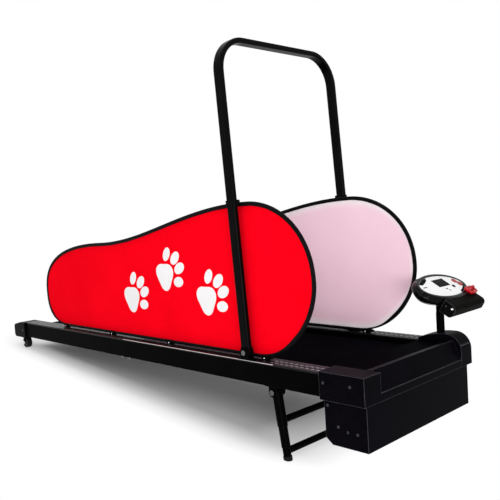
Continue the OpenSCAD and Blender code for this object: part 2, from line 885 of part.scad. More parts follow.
// Mains inlet with its rocker switch on the far wall of the lower housing
module power_inlet() {
    plate = [rail_len + inlet_plate_ahead - switch_frame_t, tray_half, inlet_z - inlet_plate[2] / 2];
    body = [rail_len + inlet_body_ahead, tray_half - inlet_body[1], inlet_z - inlet_body[2] / 2];
    middle = body[0] + inlet_body[0] / 2;
    color("#151515") in_deck() {
        difference() {
            union() {
                translate(plate) cube(inlet_plate);
                translate(body) cube([inlet_body[0], inlet_body[1] + over, inlet_body[2]]);
                switch_box(0, tray_half - inlet_body[1], tray_half);
            }
            translate([middle - inlet_cavity[0] / 2, tray_half + inlet_plate[1] - inlet_cavity[1],
                inlet_z - inlet_cavity[2] / 2])
                cube([inlet_cavity[0], inlet_cavity[1] + over, inlet_cavity[2]]);
            switch_hollow();
        }
        for (s = inlet_blade_shares)
            translate([middle + s * inlet_cavity[0] - inlet_blade[0] / 2,
                tray_half + inlet_plate[1] - inlet_cavity[1], inlet_z - inlet_blade[2] / 2])
                cube(inlet_blade);
    }
}

module switch_hollow() {
    u = rail_len + inlet_plate_ahead + switch_ahead;
    y = tray_half - switch_inset;
    rod_along(u - gap, u + switch_len + gap, y, inlet_z, switch_r + gap);
    rod_along(u - gap - switch_pin_len, u + switch_len + gap + switch_pin_len, y, inlet_z,
        switch_pin_r + run_fit);
}

module power_switch() {
    u = rail_len + inlet_plate_ahead + switch_ahead;
    y = tray_half - switch_inset;
    color("#b01818") in_deck() {
        difference() {
            rod_along(u, u + switch_len, y, inlet_z, switch_r);
            block([u - over, y - switch_r - over, inlet_z - switch_r - over],
                [u + switch_len + over, y - switch_inset, inlet_z + switch_r + over]);
            translate([u - over, y + switch_r + switch_r - switch_notch, inlet_z]) rotate([0, 90, 0])
                cylinder(r = switch_r, h = switch_len + 2 * over);
        }
        rod_along(u - switch_pin_len, u + switch_len + switch_pin_len, y, inlet_z, switch_pin_r);
    }
}

// Rear end caps
module rear_cap() {
    inner = rail_in - gap - cap_inner_t;
    difference() {
        across(inner, cap_out) polygon(cap_profile);
        block([0, rail_in - gap, -gap], [cap_lap + over, rail_out + gap, rail_h + gap]);
        rod_along(-cap_reach - over, over, tension_y, roller_z, bolt_r + run_fit);
        rod_along(-cap_reach - over, -cap_reach + tension_recess, tension_y, roller_z, bolt_head_r + gap);
    }
}

module rear_caps() {
    color("#161617") in_deck() both_sides() rear_cap();
}

module tension_bolts() {
    head = -cap_reach + tension_recess;
    color("#c0c0c0") in_deck() both_sides() {
        rod_along(head, rear_roller_at - axle_r, tension_y, roller_z, bolt_r);
        rod_along(head - bolt_head_t, head, tension_y, roller_z, bolt_head_r);
    }
}

// Rear wheels
module wheel() {
    difference() {
        rod_across(-wheel_back, wheel_z, wheel_r, wheel_y - wheel_w / 2, wheel_y + wheel_w / 2);
        rod_across(-wheel_back, wheel_z, wheel_axle_r + run_fit, wheel_y - wheel_w, wheel_y + wheel_w);
        for (s = [-1, 1]) translate([0, s * (wheel_w / 2 - wheel_recess / 2), 0]) difference() {
            rod_across(-wheel_back, wheel_z, wheel_r * (1 + wheel_hub_share) / 2, wheel_y - wheel_recess,
                wheel_y + wheel_recess);
            rod_across(-wheel_back, wheel_z, wheel_r * (1 - wheel_hub_share), wheel_y - wheel_w,
                wheel_y + wheel_w);
        }
    }
}

module wheel_near() {
    color("#1a1a1a") in_deck() near_side() wheel();
}

module wheel_far() {
    color("#1a1a1a") in_deck() wheel();
}

// A pair of bracket cheeks with a round end about a pivot, on a base plate at height base
module fork(u, w, r, half, base, y0, y1, t0, t1, bore) {
    plate = base + sign(w - base) * bracket_t;
    difference() {
        union() {
            block([u - half, y0 - t0, min(base, plate)], [u + half, y1 + t1, max(base, plate)]);
            for (c = [[y0 - t0, y0], [y1, y1 + t1]]) {
                rod_across(u, w, r, c[0], c[1]);
                block([u - r, c[0], min(w, base)], [u + r, c[1], max(w, base)]);
            }
        }
        rod_across(u, w, bore, y0 - t0 - over, y1 + t1 + over);
    }
}

module wheel_brackets() {
    color("#1b1b1c") in_deck() both_sides()
        fork(-wheel_back, wheel_z, wheel_axle_r * 2, wheel_bracket_half, cap_under,
            wheel_y - wheel_w / 2 - gap, wheel_y + wheel_w / 2 + gap, bracket_t, bracket_t,
            wheel_axle_r + run_fit);
}

module wheel_axles() {
    reach = wheel_w / 2 + gap + bracket_t;
    color("#c0c0c0") in_deck() both_sides() {
        rod_across(-wheel_back, wheel_z, wheel_axle_r, wheel_y - reach, wheel_y + reach);
        rod_across(-wheel_back, wheel_z, wheel_axle_r * 2, wheel_y + reach, wheel_y + reach + bolt_head_t);
    }
}

// Upright bar
module bar_frame() {
    translate([bar_at, 0, bar_z]) rotate([0, -bar_lean, 0]) children();
}

module tube_section(a, b) {
    difference() {
        round_rect(a, b, tube_corner);
        round_rect(a - 2 * tube_wall, b - 2 * tube_wall, tube_corner - tube_wall);
    }
}

module upright_bar() {
    color("#19191a") in_deck() bar_frame() {
        both_sides() difference() {
            union() {
                translate([0, bar_y, bar_eye_r]) linear_extrude(bar_rise - tube_bend - bar_eye_r)
                    tube_section(tube_d, tube_t);
                translate([0, bar_y - tube_bend, bar_rise - tube_bend]) rotate([90, 0, 90])
                    rotate_extrude(angle = 90) translate([tube_bend, 0]) tube_section(tube_t, tube_d);
                rod_across(0, 0, bar_eye_r, bar_y - tube_t / 2, bar_y + tube_t / 2);
                block([-bar_eye_r, bar_y - tube_t / 2, 0], [bar_eye_r, bar_y + tube_t / 2, bar_eye_r]);
            }
            rod_across(0, 0, bar_bolt_r + run_fit, bar_y - tube_t, bar_y + tube_t);
        }
        translate([0, -bar_y + tube_bend, bar_rise]) rotate([-90, 0, 0])
            linear_extrude(2 * bar_y - 2 * tube_bend) tube_section(tube_d, tube_t);
    }
}

module upright_brackets() {
    outer = rail_out - bar_y - tube_t / 2 - gap;
    color("#19191a") in_deck() both_sides()
        fork(bar_at, bar_z, bar_eye_r, bracket_half, strip_top, bar_y - tube_t / 2 - gap,
            bar_y + tube_t / 2 + gap, bracket_in_t, outer, bar_bolt_r + run_fit);
}

// Bolts on which the upright bar and the legs turn
module pivot_bolt(u, w, r, y0, y1) {
    rod_across(u, w, r, y0, y1);
    rod_across(u, w, bar_bolt_head_r, y1, y1 + bar_bolt_head_t);
    rod_across(u, w, bar_bolt_head_r, y0 - bolt_head_t, y0);
}

module pivot_bolts() {
    leg_reach = leg_r + gap + bracket_t;
    color("#c8c8c8") in_deck() both_sides() {
        pivot_bolt(bar_at, bar_z, bar_bolt_r, bar_y - tube_t / 2 - gap - bracket_in_t, rail_out);
        pivot_bolt(leg_at, leg_pivot_z, leg_bolt_r, leg_y - leg_reach, leg_y + leg_reach);
    }
}

// Clips on the uprights that hold the panels' top edges
module top_clips() {
    pad_end = panel_y + rim_t / 2 + clip_gap;
    color("#161616") in_deck() bar_frame() both_sides() translate([0, 0, top_clip_at]) {
        translate([0, bar_y, 0]) linear_extrude(clip_h) difference() {
            round_rect(tube_d + 2 * clip_wall, tube_t + 2 * clip_wall, tube_corner + clip_wall);
            round_rect(tube_d + run_fit, tube_t + run_fit, tube_corner);
        }
        block([-clip_pad_half, pad_end, 0], [clip_pad_half, bar_y - tube_t / 2 - clip_wall, clip_h]);
    }
}

// Side panels
module panel_place(shift) {
    translate([panel_rear + shift, panel_y, rod_z]) children();
}

module panel_rim() {
    across(-rim_t / 2, rim_t / 2) difference() {
        polygon(panel_outline);
        polygon(inset(panel_outline, rim_w));
    }
    rod_along(rod_shares[0] * panel_len, rod_shares[1] * panel_len, 0, 0, rod_r);
}

module panel_cloth() {
    across(-cloth_t / 2, cloth_t / 2) polygon(inset(panel_outline, rim_w));
}

module panel_rim_near() {
    color("#101011") in_deck() near_side() panel_place(0) panel_rim();
}

module panel_rim_far() {
    color("#101011") in_deck() panel_place(panel_shift) panel_rim();
}

module panel_cloth_near() {
    color("#e6001a") in_deck() near_side() panel_place(0) panel_cloth();
}

module panel_cloth_far() {
    color("#e6001a") in_deck() panel_place(panel_shift) panel_cloth();
}

// Open cradles on the rails that the panels' base rods drop into
module base_clip() {
    seat = rod_r + run_fit;
    outer = seat + cradle_wall;
    difference() {
        block([-cradle_len / 2, -outer, strip_top - rod_z], [cradle_len / 2, outer, cradle_rise]);
        rod_along(-cradle_len, cradle_len, 0, 0, seat);
        block([-cradle_len, -seat, 0], [cradle_len, seat, cradle_rise + over]);
    }
}

module base_clips() {
    color("#2a2a2c") in_deck() for (s = base_clip_shares) {
        panel_place(panel_shift) translate([s * panel_len, 0, 0]) base_clip();
        near_side() panel_place(0) translate([s * panel_len, 0, 0]) base_clip();
    }
}

// Front legs, each drawn down in three sections from its pivot to its foot
module leg_frame() {
    translate([leg_at, 0, leg_pivot_z]) rotate([0, -leg_lean, 0]) children();
}

module leg_shape() {
    ends = concat(leg_steps, [leg_len - foot_sole]);
    translate([0, leg_y, 0]) for (i = [0 : len(leg_draw_shares) - 1])
        translate([0, 0, -ends[i]]) cylinder(r = leg_r * leg_draw_shares[i], h = ends[i]);
}

module leg_tubes() {
    eye = leg_r * leg_eye_share;
    bore = leg_r * leg_draw_shares[2] - leg_wall;
    color("#19191a") in_deck() leg_frame() both_sides() difference() {
        union() {
            leg_shape();
            rod_across(0, 0, eye, leg_y - eye, leg_y + eye);
        }
        translate([0, leg_y, -leg_len]) cylinder(r = bore, h = leg_len - 2 * leg_r);
        rod_across(0, 0, leg_bolt_r + run_fit, leg_y - leg_r - over, leg_y + leg_r + over);
    }
}

module leg_bars() {
    color("#19191a") in_deck() leg_frame() difference() {
        for (d = leg_bar_drops) rod_across(0, -d, leg_bar_r, -leg_y, leg_y);
        for (d = leg_bar_drops) rod_across(0, -d, leg_bar_r - leg_wall, -leg_y - over, leg_y + over);
        both_sides() leg_shape();
    }
}

module leg_feet() {
    color("#121212") difference() {
        in_deck() leg_frame() both_sides() translate([0, leg_y, -leg_len]) difference() {
            translate([0, 0, -foot_sole]) cylinder(r = leg_r * leg_draw_shares[1], h = foot_h + foot_sole);
            translate([0, 0, foot_sole]) cylinder(r = leg_r * leg_draw_shares[2], h = foot_h);
        }
        translate([0, 0, -rail_len]) cube([2 * rail_len, 2 * rail_len, 2 * rail_len], center = true);
    }
}

module leg_brackets() {
    color("#19191a") in_deck() both_sides()
        fork(leg_at, leg_pivot_z, leg_r, leg_bracket_half, 0, leg_y - leg_r - gap, leg_y + leg_r + gap,
            bracket_t, bracket_t, leg_bolt_r + run_fit);
}

// Console
module console_post() {
    tongue_low = pivot_top - tongue_r - tongue_seat;
    color("#171718") in_deck() translate([post_at, post_y, 0]) difference() {
        union() {
            translate([0, 0, beam_top]) cylinder(r = post_r, h = tongue_low - beam_top + tongue_r);
            block([-tongue[0] / 2, -tongue[1] / 2, tongue_low], [tongue[0] / 2, tongue[1] / 2, pivot_top]);
            rod_across(0, pivot_top, tongue_r, -tongue[1] / 2, tongue[1] / 2);
        }
        translate([0, 0, beam_top - over]) cylinder(r = post_r - post_wall, h = tongue_low - beam_top);
        rod_across(0, pivot_top, pin_r + run_fit, -tongue[1], tongue[1]);
    }
}

module console_pin() {
    reach = tongue[1] / 2 + gap + lug_t;
    color("#b8b8b8") in_deck() translate([post_at, post_y, pivot_top]) {
        for (s = [0, 1]) mirror([0, s, 0])
            rod_across(0, 0, pin_head_r, reach + gap, reach + gap + pin_head_t);
        rod_across(0, 0, pin_r, -reach - gap, reach + gap);
    }
}

// Frame of the console: x down the face, z square to it, from the tilt pivot
module console_frame() {
    translate([post_at, post_y, pivot_top]) rotate([0, console_tilt, 0]) children();
}

module dish_outer() {
    translate([-dish_back, dish_off, dish_stand]) hull() {
        translate([0, 0, dish_depth - dish_rim]) linear_extrude(dish_rim) polygon(oval(dish_a, dish_b));
        translate([0, 0, dish_depth * belly_share]) linear_extrude(dish_rim)
            polygon(oval(dish_a + dish_belly, dish_b + dish_belly));
        linear_extrude(dish_wall) polygon(oval(dish_a - dish_shrink, dish_b - dish_shrink));
    }
}

module dish_hollow() {
    a = dish_a - face_rim - dish_ledge;
    b = dish_b - face_rim - dish_ledge;
    translate([-dish_back, dish_off, dish_stand]) {
        translate([0, 0, dish_wall]) linear_extrude(dish_depth)
            polygon(oval(a - dish_shrink / 2, b - dish_shrink / 2));
        translate([0, 0, dish_depth * dish_step_share]) linear_extrude(dish_depth) polygon(oval(a, b));
        translate([0, 0, dish_depth - dish_rim]) linear_extrude(dish_rim + over)
            polygon(oval(dish_a - face_rim, dish_b - face_rim));
    }
}

module key_hole() {
    key_place(0) translate([0, 0, -key_stem_len - gap]) cylinder(r = key_stem_r + run_fit, h = apron_h);
}

module console_body() {
    color("#151517") in_deck() console_frame() difference() {
        union() {
            difference() {
                dish_outer();
                dish_hollow();
            }
            for (s = [0, 1]) mirror([0, s, 0]) translate([0, tongue[1] / 2 + gap, 0]) {
                rod_across(0, 0, lug_r, 0, lug_t);
                block([-lug_r, 0, 0], [lug_r, lug_t, dish_stand + dish_wall]);
            }
        }
        rod_across(0, 0, pin_r + run_fit, -dish_b, dish_b);
        key_hole();
    }
}

module console_apron() {
    middle = apron_off;
    color("#151517") in_deck() console_frame() difference() {
        translate([(apron_front + apron_rear) / 2, 0, apron_low + apron_h / 2])
            across(middle - apron_w / 2, middle + apron_w / 2)
                round_rect(apron_front - apron_rear, apron_h, apron_round);
        dish_outer();
        block([-dish_a, middle - apron_w, apron_low - over], [dish_a / 2, middle + apron_w, dish_stand]);
        translate([0, 0, apron_low - over]) linear_extrude(apron_h + 2 * over)
            polygon([[apron_rear - over, middle - apron_w], [apron_slant[0], middle - apron_w],
                [apron_slant[0], middle - apron_w / 2], [apron_rear - over, apron_slant[1]]]);
        key_hole();
    }
}

module face_place(at) {
    translate([at[0] - dish_back, at[1] + dish_off, face_z]) children();
}

module console_face() {
    color("#f2f2f0") in_deck() console_frame() difference() {
        face_place([0, 0]) linear_extrude(face_t)
            polygon(oval(dish_a - face_rim - gap, dish_b - face_rim - gap));
        face_place(display_at) translate([0, 0, face_t - display_sink + face_t / 2])
            cube([display_size[0] + 2 * gap, display_size[1] + 2 * gap, face_t], center = true);
        for (b = [[faster_at, button_r], [slower_at, button_r], [start_at, start_r]])
            face_place(b[0]) translate([0, 0, -over]) cylinder(r = b[1] + run_fit, h = face_t + 2 * over);
    }
}

module console_display() {
    color("#20242a") in_deck() console_frame() face_place(display_at)
        translate([0, 0, face_t - display_sink + (display_sink + display_proud) / 2])
            cube([display_size[0], display_size[1], display_sink + display_proud], center = true);
}

module button(at, r) {
    in_deck() console_frame() face_place(at) {
        translate([0, 0, -button_tail]) cylinder(r = r, h = button_tail + face_t + button_proud);
        translate([0, 0, -gap - button_collar_t]) cylinder(r = r + button_flange, h = button_collar_t);
    }
}

module button_faster() {
    color("#d8151f") button(faster_at, button_r);
}

module button_slower() {
    color("#d8151f") button(slower_at, button_r);
}

module button_start() {
    color("#17171a") button(start_at, start_r);
}

// Pull-out safety key that stands on the apron
module key_place(lift) {
    translate([key_at[0], key_at[1], dish_stand + dish_depth + lift]) children();
}

module safety_key() {
    color("#d8151f") in_deck() console_frame() key_place(gap) {
        linear_extrude(key_size[2]) round_rect(key_size[0], key_size[1], key_round);
        translate([0, 0, key_size[2] + key_bar[2] / 2]) cube(key_bar, center = true);
        translate([0, 0, -key_stem_len]) cylinder(r = key_stem_r, h = key_stem_len);
    }
}

rail_rear_near();
rail_rear_far();
rail_front_near();
rail_front_far();
foot_strip_near();
foot_strip_far();
splice_plates();
splice_bolts();
cross_members();
deck_cushions();
deck_board();
walking_belt();
rear_roller();
front_roller();
roller_axles();
roller_bearings();
roller_pulley();
drive_belt();
motor_body();
motor_cradle();
motor_rotor();
control_board();
front_beams();
lower_housing();
hood();
end_cheek();
housing_screws();
power_inlet();
power_switch();
rear_caps();
tension_bolts();
wheel_near();
wheel_far();
wheel_brackets();
wheel_axles();
upright_bar();
upright_brackets();
pivot_bolts();
top_clips();
panel_rim_near();
panel_rim_far();
panel_cloth_near();
panel_cloth_far();
base_clips();
leg_tubes();
leg_bars();
leg_feet();
leg_brackets();
console_post();
console_pin();
console_body();
console_apron();
console_face();
console_display();
button_faster();
button_slower();
button_start();
safety_key();
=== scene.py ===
import itertools
import math

import bmesh
import bpy
from mathutils import Matrix, Vector


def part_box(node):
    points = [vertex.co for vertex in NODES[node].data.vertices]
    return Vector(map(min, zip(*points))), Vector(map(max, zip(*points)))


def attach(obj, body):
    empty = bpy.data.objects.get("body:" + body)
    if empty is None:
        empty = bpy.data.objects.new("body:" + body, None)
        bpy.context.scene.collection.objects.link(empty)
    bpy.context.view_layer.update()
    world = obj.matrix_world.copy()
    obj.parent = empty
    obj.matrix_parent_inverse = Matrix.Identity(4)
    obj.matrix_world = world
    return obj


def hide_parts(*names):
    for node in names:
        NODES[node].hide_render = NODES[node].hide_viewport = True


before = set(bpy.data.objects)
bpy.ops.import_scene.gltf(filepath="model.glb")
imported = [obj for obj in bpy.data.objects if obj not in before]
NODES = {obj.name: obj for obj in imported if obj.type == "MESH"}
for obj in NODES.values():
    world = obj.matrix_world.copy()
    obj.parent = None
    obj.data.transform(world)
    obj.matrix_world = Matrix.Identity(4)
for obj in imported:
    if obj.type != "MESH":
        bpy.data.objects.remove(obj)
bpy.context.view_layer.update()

MM = 0.001

# Deck frame: u forward along the deck, y to the far side, w square to the deck, in millimetres
INCLINE = math.radians(5.6)
ORIGIN = Vector((-904.043, -48.1, 58.2067)) * MM
DECK = Matrix.Translation(ORIGIN) @ Matrix.Rotation(-INCLINE, 4, "Y")

# Console frame: x down its slope, y to the far side and z out of its face, in millimetres
TILT = math.radians(31)
CONSOLE_AT = Vector((1805, 246, 178)) * MM
CONSOLE = DECK @ Matrix.Translation(CONSOLE_AT) @ Matrix.Rotation(TILT, 4, "Y")


def deck(u, y, w):
    return DECK @ Vector((u * MM, y * MM, w * MM))


# Node materials
class Shade:
    """A procedural material while its nodes are put together."""

    def __init__(self, name, **values):
        self.mat = bpy.data.materials.new(name)
        self.mat.use_nodes = True
        self.tree = self.mat.node_tree
        self.bsdf = self.tree.nodes["Principled BSDF"]
        self.where = self.tree.nodes.new("ShaderNodeTexCoord").outputs["Object"]
        for socket, value in values.items():
            self.bsdf.inputs[socket.replace("_", " ")].default_value = value

    def node(self, kind, inputs=(), **settings):
        n = self.tree.nodes.new("ShaderNode" + kind)
        for key, value in settings.items():
            setattr(n, key, value)
        for key, value in dict(inputs).items():
            if isinstance(value, bpy.types.NodeSocket):
                self.tree.links.new(value, n.inputs[key])
            else:
                n.inputs[key].default_value = value
        return n

    def put(self, socket, source):
        self.tree.links.new(source, self.bsdf.inputs[socket])

    def mapped(self, scale=(1, 1, 1), turn=(0, 0, 0)):
        return self.node("Mapping", {"Vector": self.where, "Rotation": turn, "Scale": scale}).outputs[0]

    def noise(self, scale, detail=3.0, rough=0.5, vector=None):
        n = self.node("TexNoise", {"Vector": vector or self.where, "Scale": scale, "Detail": detail,
                                   "Roughness": rough})
        return n.outputs["Fac"]

    def cells(self, scale, feature="F1"):
        n = self.node("TexVoronoi", {"Vector": self.where, "Scale": scale}, feature=feature)
        return n.outputs["Distance"]

    def waves(self, scale, direction, vector, distortion=0.0, profile="SIN"):
        n = self.node("TexWave", {"Vector": vector, "Scale": scale, "Distortion": distortion},
                      wave_type="BANDS", bands_direction=direction, wave_profile=profile)
        return n.outputs["Fac"]

    def math(self, op, a, b=0.0, c=0.0):
        return self.node("Math", {0: a, 1: b, 2: c}, operation=op).outputs[0]

    def ramp(self, fac, stops):
        n = self.node("ValToRGB", {"Fac": fac})
        band = n.color_ramp.elements
        while len(band) < len(stops):
            band.new(0.5)
        for e, (at, value) in zip(band, stops):
            e.position = at
            e.color = (*value, 1) if isinstance(value, tuple) else (value, value, value, 1)
        return n.outputs["Color"]

    def spread(self, fac, low, high):
        n = self.node("MapRange", {"Value": fac, "To Min": low, "To Max": high})
        return n.outputs["Result"]

    def mix(self, fac, a, b):
        n = self.node("Mix", data_type="RGBA")
        for socket, value in zip((n.inputs[0], n.inputs[6], n.inputs[7]), (fac, a, b)):
            if isinstance(value, bpy.types.NodeSocket):
                self.tree.links.new(value, socket)
            else:
                socket.default_value = (*value, 1) if isinstance(value, tuple) else value
        return n.outputs[2]

    def bump(self, height, distance):
        n = self.node("Bump", {"Height": height, "Distance": distance, "Strength": 1.0})
        self.put("Normal", n.outputs["Normal"])

    def edges(self, radius):
        """A mask that is 1 where the surface turns sharply and 0 on the flats."""
        near = self.node("Bevel", {"Radius": radius}, samples=4).outputs["Normal"]
        true = self.node("NewGeometry").outputs["Normal"]
        dot = self.node("VectorMath", {0: near, 1: true}, operation="DOT_PRODUCT").outputs["Value"]
        return self.ramp(dot, [(0.80, 1.0), (0.985, 0.0)])


def black_wear_and_highlight(name, low, high, rough, grain, bite, edge, specular, wear_and_highlight_amount=0.5, radius=0.0012):
    """Black finish with a fine grain, cloudy colour and sharp edges painted a little paler: partly wear,
    partly painted highlight.
    """
    s = Shade(name, Specular_IOR_Level=specular)
    cloud = s.noise(9.0, 4.0, 0.6)
    fine = s.noise(grain, 2.0, 0.55)
    base = s.ramp(cloud, [(0.3, low), (0.7, high)])
    # Painted highlight and wear: sharp edges mix towards the paler edge colour
    wear_and_highlight_mask = s.math("MULTIPLY", s.edges(radius), s.spread(s.noise(60.0, 3.0), wear_and_highlight_amount * 0.3, wear_and_highlight_amount))
    s.put("Base Color", s.mix(wear_and_highlight_mask, base, edge))
    both = s.math("ADD", s.math("MULTIPLY", cloud, 0.5), s.math("MULTIPLY", fine, 0.5))
    s.put("Roughness", s.spread(both, *rough))
    s.bump(fine, bite)
    return s.mat


# Pale edge colour of the speckled plastics: partly wear, partly painted highlight
SPECKLED_EDGE = {"radius": 0.0022, "colour": (0.150, 0.142, 0.162), "wear_and_highlight_amount": (0.45, 1.0)}


def speckled(name, low, high, fleck, rough, specular, scale, bite):
    """Moulded black plastic with a pitted grain that shows as pale flecks, and sharp edges painted much
    paler: partly wear, partly painted highlight.
    """
    s = Shade(name, Specular_IOR_Level=specular)
    pits = s.cells(scale)
    cloud = s.noise(7.0, 4.0, 0.6)
    base = s.ramp(cloud, [(0.3, low), (0.7, high)])
    dots = s.ramp(s.noise(scale * 0.6, 1.0, 0.4), [(0.60, 0.0), (0.72, 1.0)])
    wear_and_highlight_amount = s.spread(s.noise(45.0, 3.0), *SPECKLED_EDGE["wear_and_highlight_amount"])
    wear_and_highlight_mask = s.math("MULTIPLY", s.edges(SPECKLED_EDGE["radius"]), wear_and_highlight_amount)
    s.put("Base Color", s.mix(wear_and_highlight_mask, s.mix(dots, base, fleck), SPECKLED_EDGE["colour"]))
    s.put("Roughness", s.spread(cloud, *rough))
    s.bump(pits, bite)
    return s.mat


def metal(name, low, high, rough, brushed):
    s = Shade(name, Metallic=1.0)
    lines = s.noise(1.0, 3.0, 0.6, s.mapped(brushed))
    cloud = s.noise(40.0, 3.0)
    s.put("Base Color", s.ramp(cloud, [(0.3, low), (0.7, high)]))
    s.put("Roughness", s.spread(lines, *rough))
    s.bump(lines, 0.00003)
    return s.mat


def rubber(name, low, high, grain, bite, rough, specular):
    s = Shade(name, Specular_IOR_Level=specular)
    dust = s.noise(25.0, 4.0, 0.65)
    s.put("Base Color", s.ramp(dust, [(0.35, low), (0.7, high)]))
    s.put("Roughness", s.spread(dust, *rough))
    s.bump(s.noise(grain, 2.0), bite)
    return s.mat


def belt_finish():
    """Walking belt: fine diamond emboss with pale specks of rubber dust."""
    s = Shade("belt_rubber", Specular_IOR_Level=0.001)
    flat = s.mapped(turn=(0, INCLINE, 0))
    turned = s.node("Mapping", {"Vector": flat, "Rotation": (0, 0, math.radians(45))}).outputs[0]
    a = s.waves(55.0, "X", turned, profile="TRI")
    b = s.waves(55.0, "Y", turned, profile="TRI")
    diamonds = s.math("MINIMUM", a, b)
    cloud = s.noise(5.0, 5.0, 0.6)
    fleck = s.ramp(s.noise(420.0, 2.0, 0.5), [(0.62, 0.0), (0.74, 1.0)])
    base = s.ramp(cloud, [(0.3, (0.0006, 0.0005, 0.0011)), (0.75, (0.0022, 0.0018, 0.0034))])
    s.put("Base Color", s.mix(fleck, base, (0.026, 0.025, 0.022)))
    s.put("Roughness", s.spread(s.noise(30.0, 3.0), 0.48, 0.66))
    s.bump(diamonds, 0.00035)
    return s.mat


WAVE_UNIT = 20.0


def weave(s, pitch, turn=0.0):
    """Height of a plain weave in the panel's own plane, threads a pitch apart."""
    flat = s.mapped(turn=(0, INCLINE + turn, 0))
    per = 2 * math.pi / pitch / WAVE_UNIT
    warp = s.waves(per, "X", flat, 0.25)
    weft = s.waves(per, "Z", flat, 0.25)
    part = s.node("SeparateXYZ", {0: flat}).outputs
    over_x = s.math("SIGN", s.math("SINE", s.math("MULTIPLY", part[0], math.pi / pitch)))
    over_z = s.math("SIGN", s.math("SINE", s.math("MULTIPLY", part[2], math.pi / pitch)))
    check = s.math("MULTIPLY_ADD", s.math("MULTIPLY", over_x, over_z), 0.5, 0.5)
    over = s.math("MULTIPLY", warp, check)
    under = s.math("MULTIPLY", weft, s.math("SUBTRACT", 1.0, check))
    return s.math("ADD", over, under)


def cloth_finish(name, low, high, edge, sheen, specular):
    """Woven panel cloth; the edge attribute fades its colour towards the binding."""
    s = Shade(name, Specular_IOR_Level=specular, Sheen_Weight=sheen, Sheen_Roughness=0.45)
    threads = weave(s, 0.0009)
    cloud = s.noise(6.0, 4.0, 0.55)
    slub = s.noise(1.0, 2.0, 0.5, s.mapped((40.0, 40.0, 900.0), (0, INCLINE, 0)))
    both = s.math("ADD", s.math("MULTIPLY", cloud, 0.7), s.math("MULTIPLY", slub, 0.3))
    base = s.ramp(both, [(0.32, low), (0.68, high)])
    fade = s.node("Attribute", attribute_name="edge_near").outputs["Fac"]
    s.put("Base Color", s.mix(fade, base, edge))
    s.put("Roughness", s.spread(threads, 0.72, 0.55))
    s.bump(threads, 0.00012)
    return s.mat


def tape_finish():
    s = Shade("binding_tape", Specular_IOR_Level=0.04, Sheen_Weight=0.01, Sheen_Roughness=0.5)
    ribs = weave(s, 0.0012, math.radians(45))
    cloud = s.noise(14.0, 4.0, 0.6)
    s.put("Base Color", s.ramp(cloud, [(0.3, (0.0012, 0.0013, 0.0016)), (0.75, (0.0036, 0.0038, 0.0046))]))
    s.put("Roughness", s.spread(ribs, 0.62, 0.45))
    s.bump(ribs, 0.00016)
    return s.mat


def white_finish(name, low, high, specular, rough):
    s = Shade(name, Specular_IOR_Level=specular)
    cloud = s.noise(20.0, 3.0)
    s.put("Base Color", s.ramp(cloud, [(0.3, (low, low, low + 0.008)), (0.7, (high, high, high + 0.005))]))
    s.put("Roughness", s.spread(s.noise(300.0, 2.0), *rough))
    s.bump(s.noise(1500.0, 1.0), 0.00002)
    return s.mat


def glass_finish():
    s = Shade("display_glass", Specular_IOR_Level=0.012)
    cloud = s.noise(45.0, 2.0)
    s.put("Base Color", s.ramp(cloud, [(0.3, (0.0016, 0.0018, 0.0022)), (0.7, (0.0040, 0.0044, 0.0050))]))
    s.put("Roughness", s.spread(s.noise(200.0, 2.0), 0.10, 0.20))
    return s.mat


def red_finish(name, low, high, rough):
    s = Shade(name, Specular_IOR_Level=0.35)
    cloud = s.noise(80.0, 3.0)
    s.put("Base Color", s.ramp(cloud, [(0.3, low), (0.7, high)]))
    s.put("Roughness", s.spread(s.noise(500.0, 2.0), *rough))
    s.bump(s.noise(1600.0, 1.0), 0.00002)
    return s.mat


def board_wood():
    s = Shade("deck_wood", Specular_IOR_Level=0.3)
    fibre = s.noise(1.0, 4.0, 0.6, s.mapped((12.0, 160.0, 160.0), (0, INCLINE, 0)))
    s.put("Base Color", s.ramp(fibre, [(0.3, (0.20, 0.12, 0.06)), (0.7, (0.33, 0.21, 0.12))]))
    s.put("Roughness", s.spread(fibre, 0.5, 0.7))
    s.bump(fibre, 0.0001)
    return s.mat


def circuit():
    s = Shade("circuit_board", Specular_IOR_Level=0.4)
    tracks = s.ramp(s.cells(260.0, feature="DISTANCE_TO_EDGE"), [(0.04, 1.0), (0.07, 0.0)])
    s.put("Base Color", s.mix(tracks, (0.012, 0.070, 0.030), (0.05, 0.20, 0.07)))
    s.put("Roughness", s.spread(s.noise(120.0), 0.35, 0.55))
    s.bump(tracks, 0.00005)
    return s.mat


def strip_finish(name, rough, specular):
    return black_wear_and_highlight(name, (0.0014, 0.0011, 0.0017), (0.0034, 0.0028, 0.0040), rough, grain=1200.0,
                      bite=0.00003, edge=(0.055, 0.050, 0.058), specular=specular, wear_and_highlight_amount=0.6, radius=0.0007)


# Each black finish's edge colour pales its sharp edges: partly wear, partly painted highlight
BLACK_PAINT = black_wear_and_highlight("black_paint", (0.0005, 0.0006, 0.0005), (0.0014, 0.0015, 0.0014),
                         rough=(0.30, 0.44), grain=900.0, bite=0.00004, edge=(0.040, 0.040, 0.042),
                         specular=0.008)
BAR_PAINT = black_wear_and_highlight("bar_paint", (0.0010, 0.0010, 0.0012), (0.0024, 0.0024, 0.0028), rough=(0.18, 0.28),
                       grain=700.0, bite=0.00003, edge=(0.045, 0.045, 0.050), specular=0.03)
STRIP = strip_finish("strip_grip", rough=(0.12, 0.22), specular=0.16)
FAR_STRIP = strip_finish("strip_grip_shaded", rough=(0.22, 0.34), specular=0.05)
PLASTIC = black_wear_and_highlight("black_plastic", (0.0012, 0.0011, 0.0014), (0.0030, 0.0028, 0.0034),
                     rough=(0.36, 0.50), grain=1500.0, bite=0.00006, edge=(0.045, 0.043, 0.048),
                     specular=0.025)
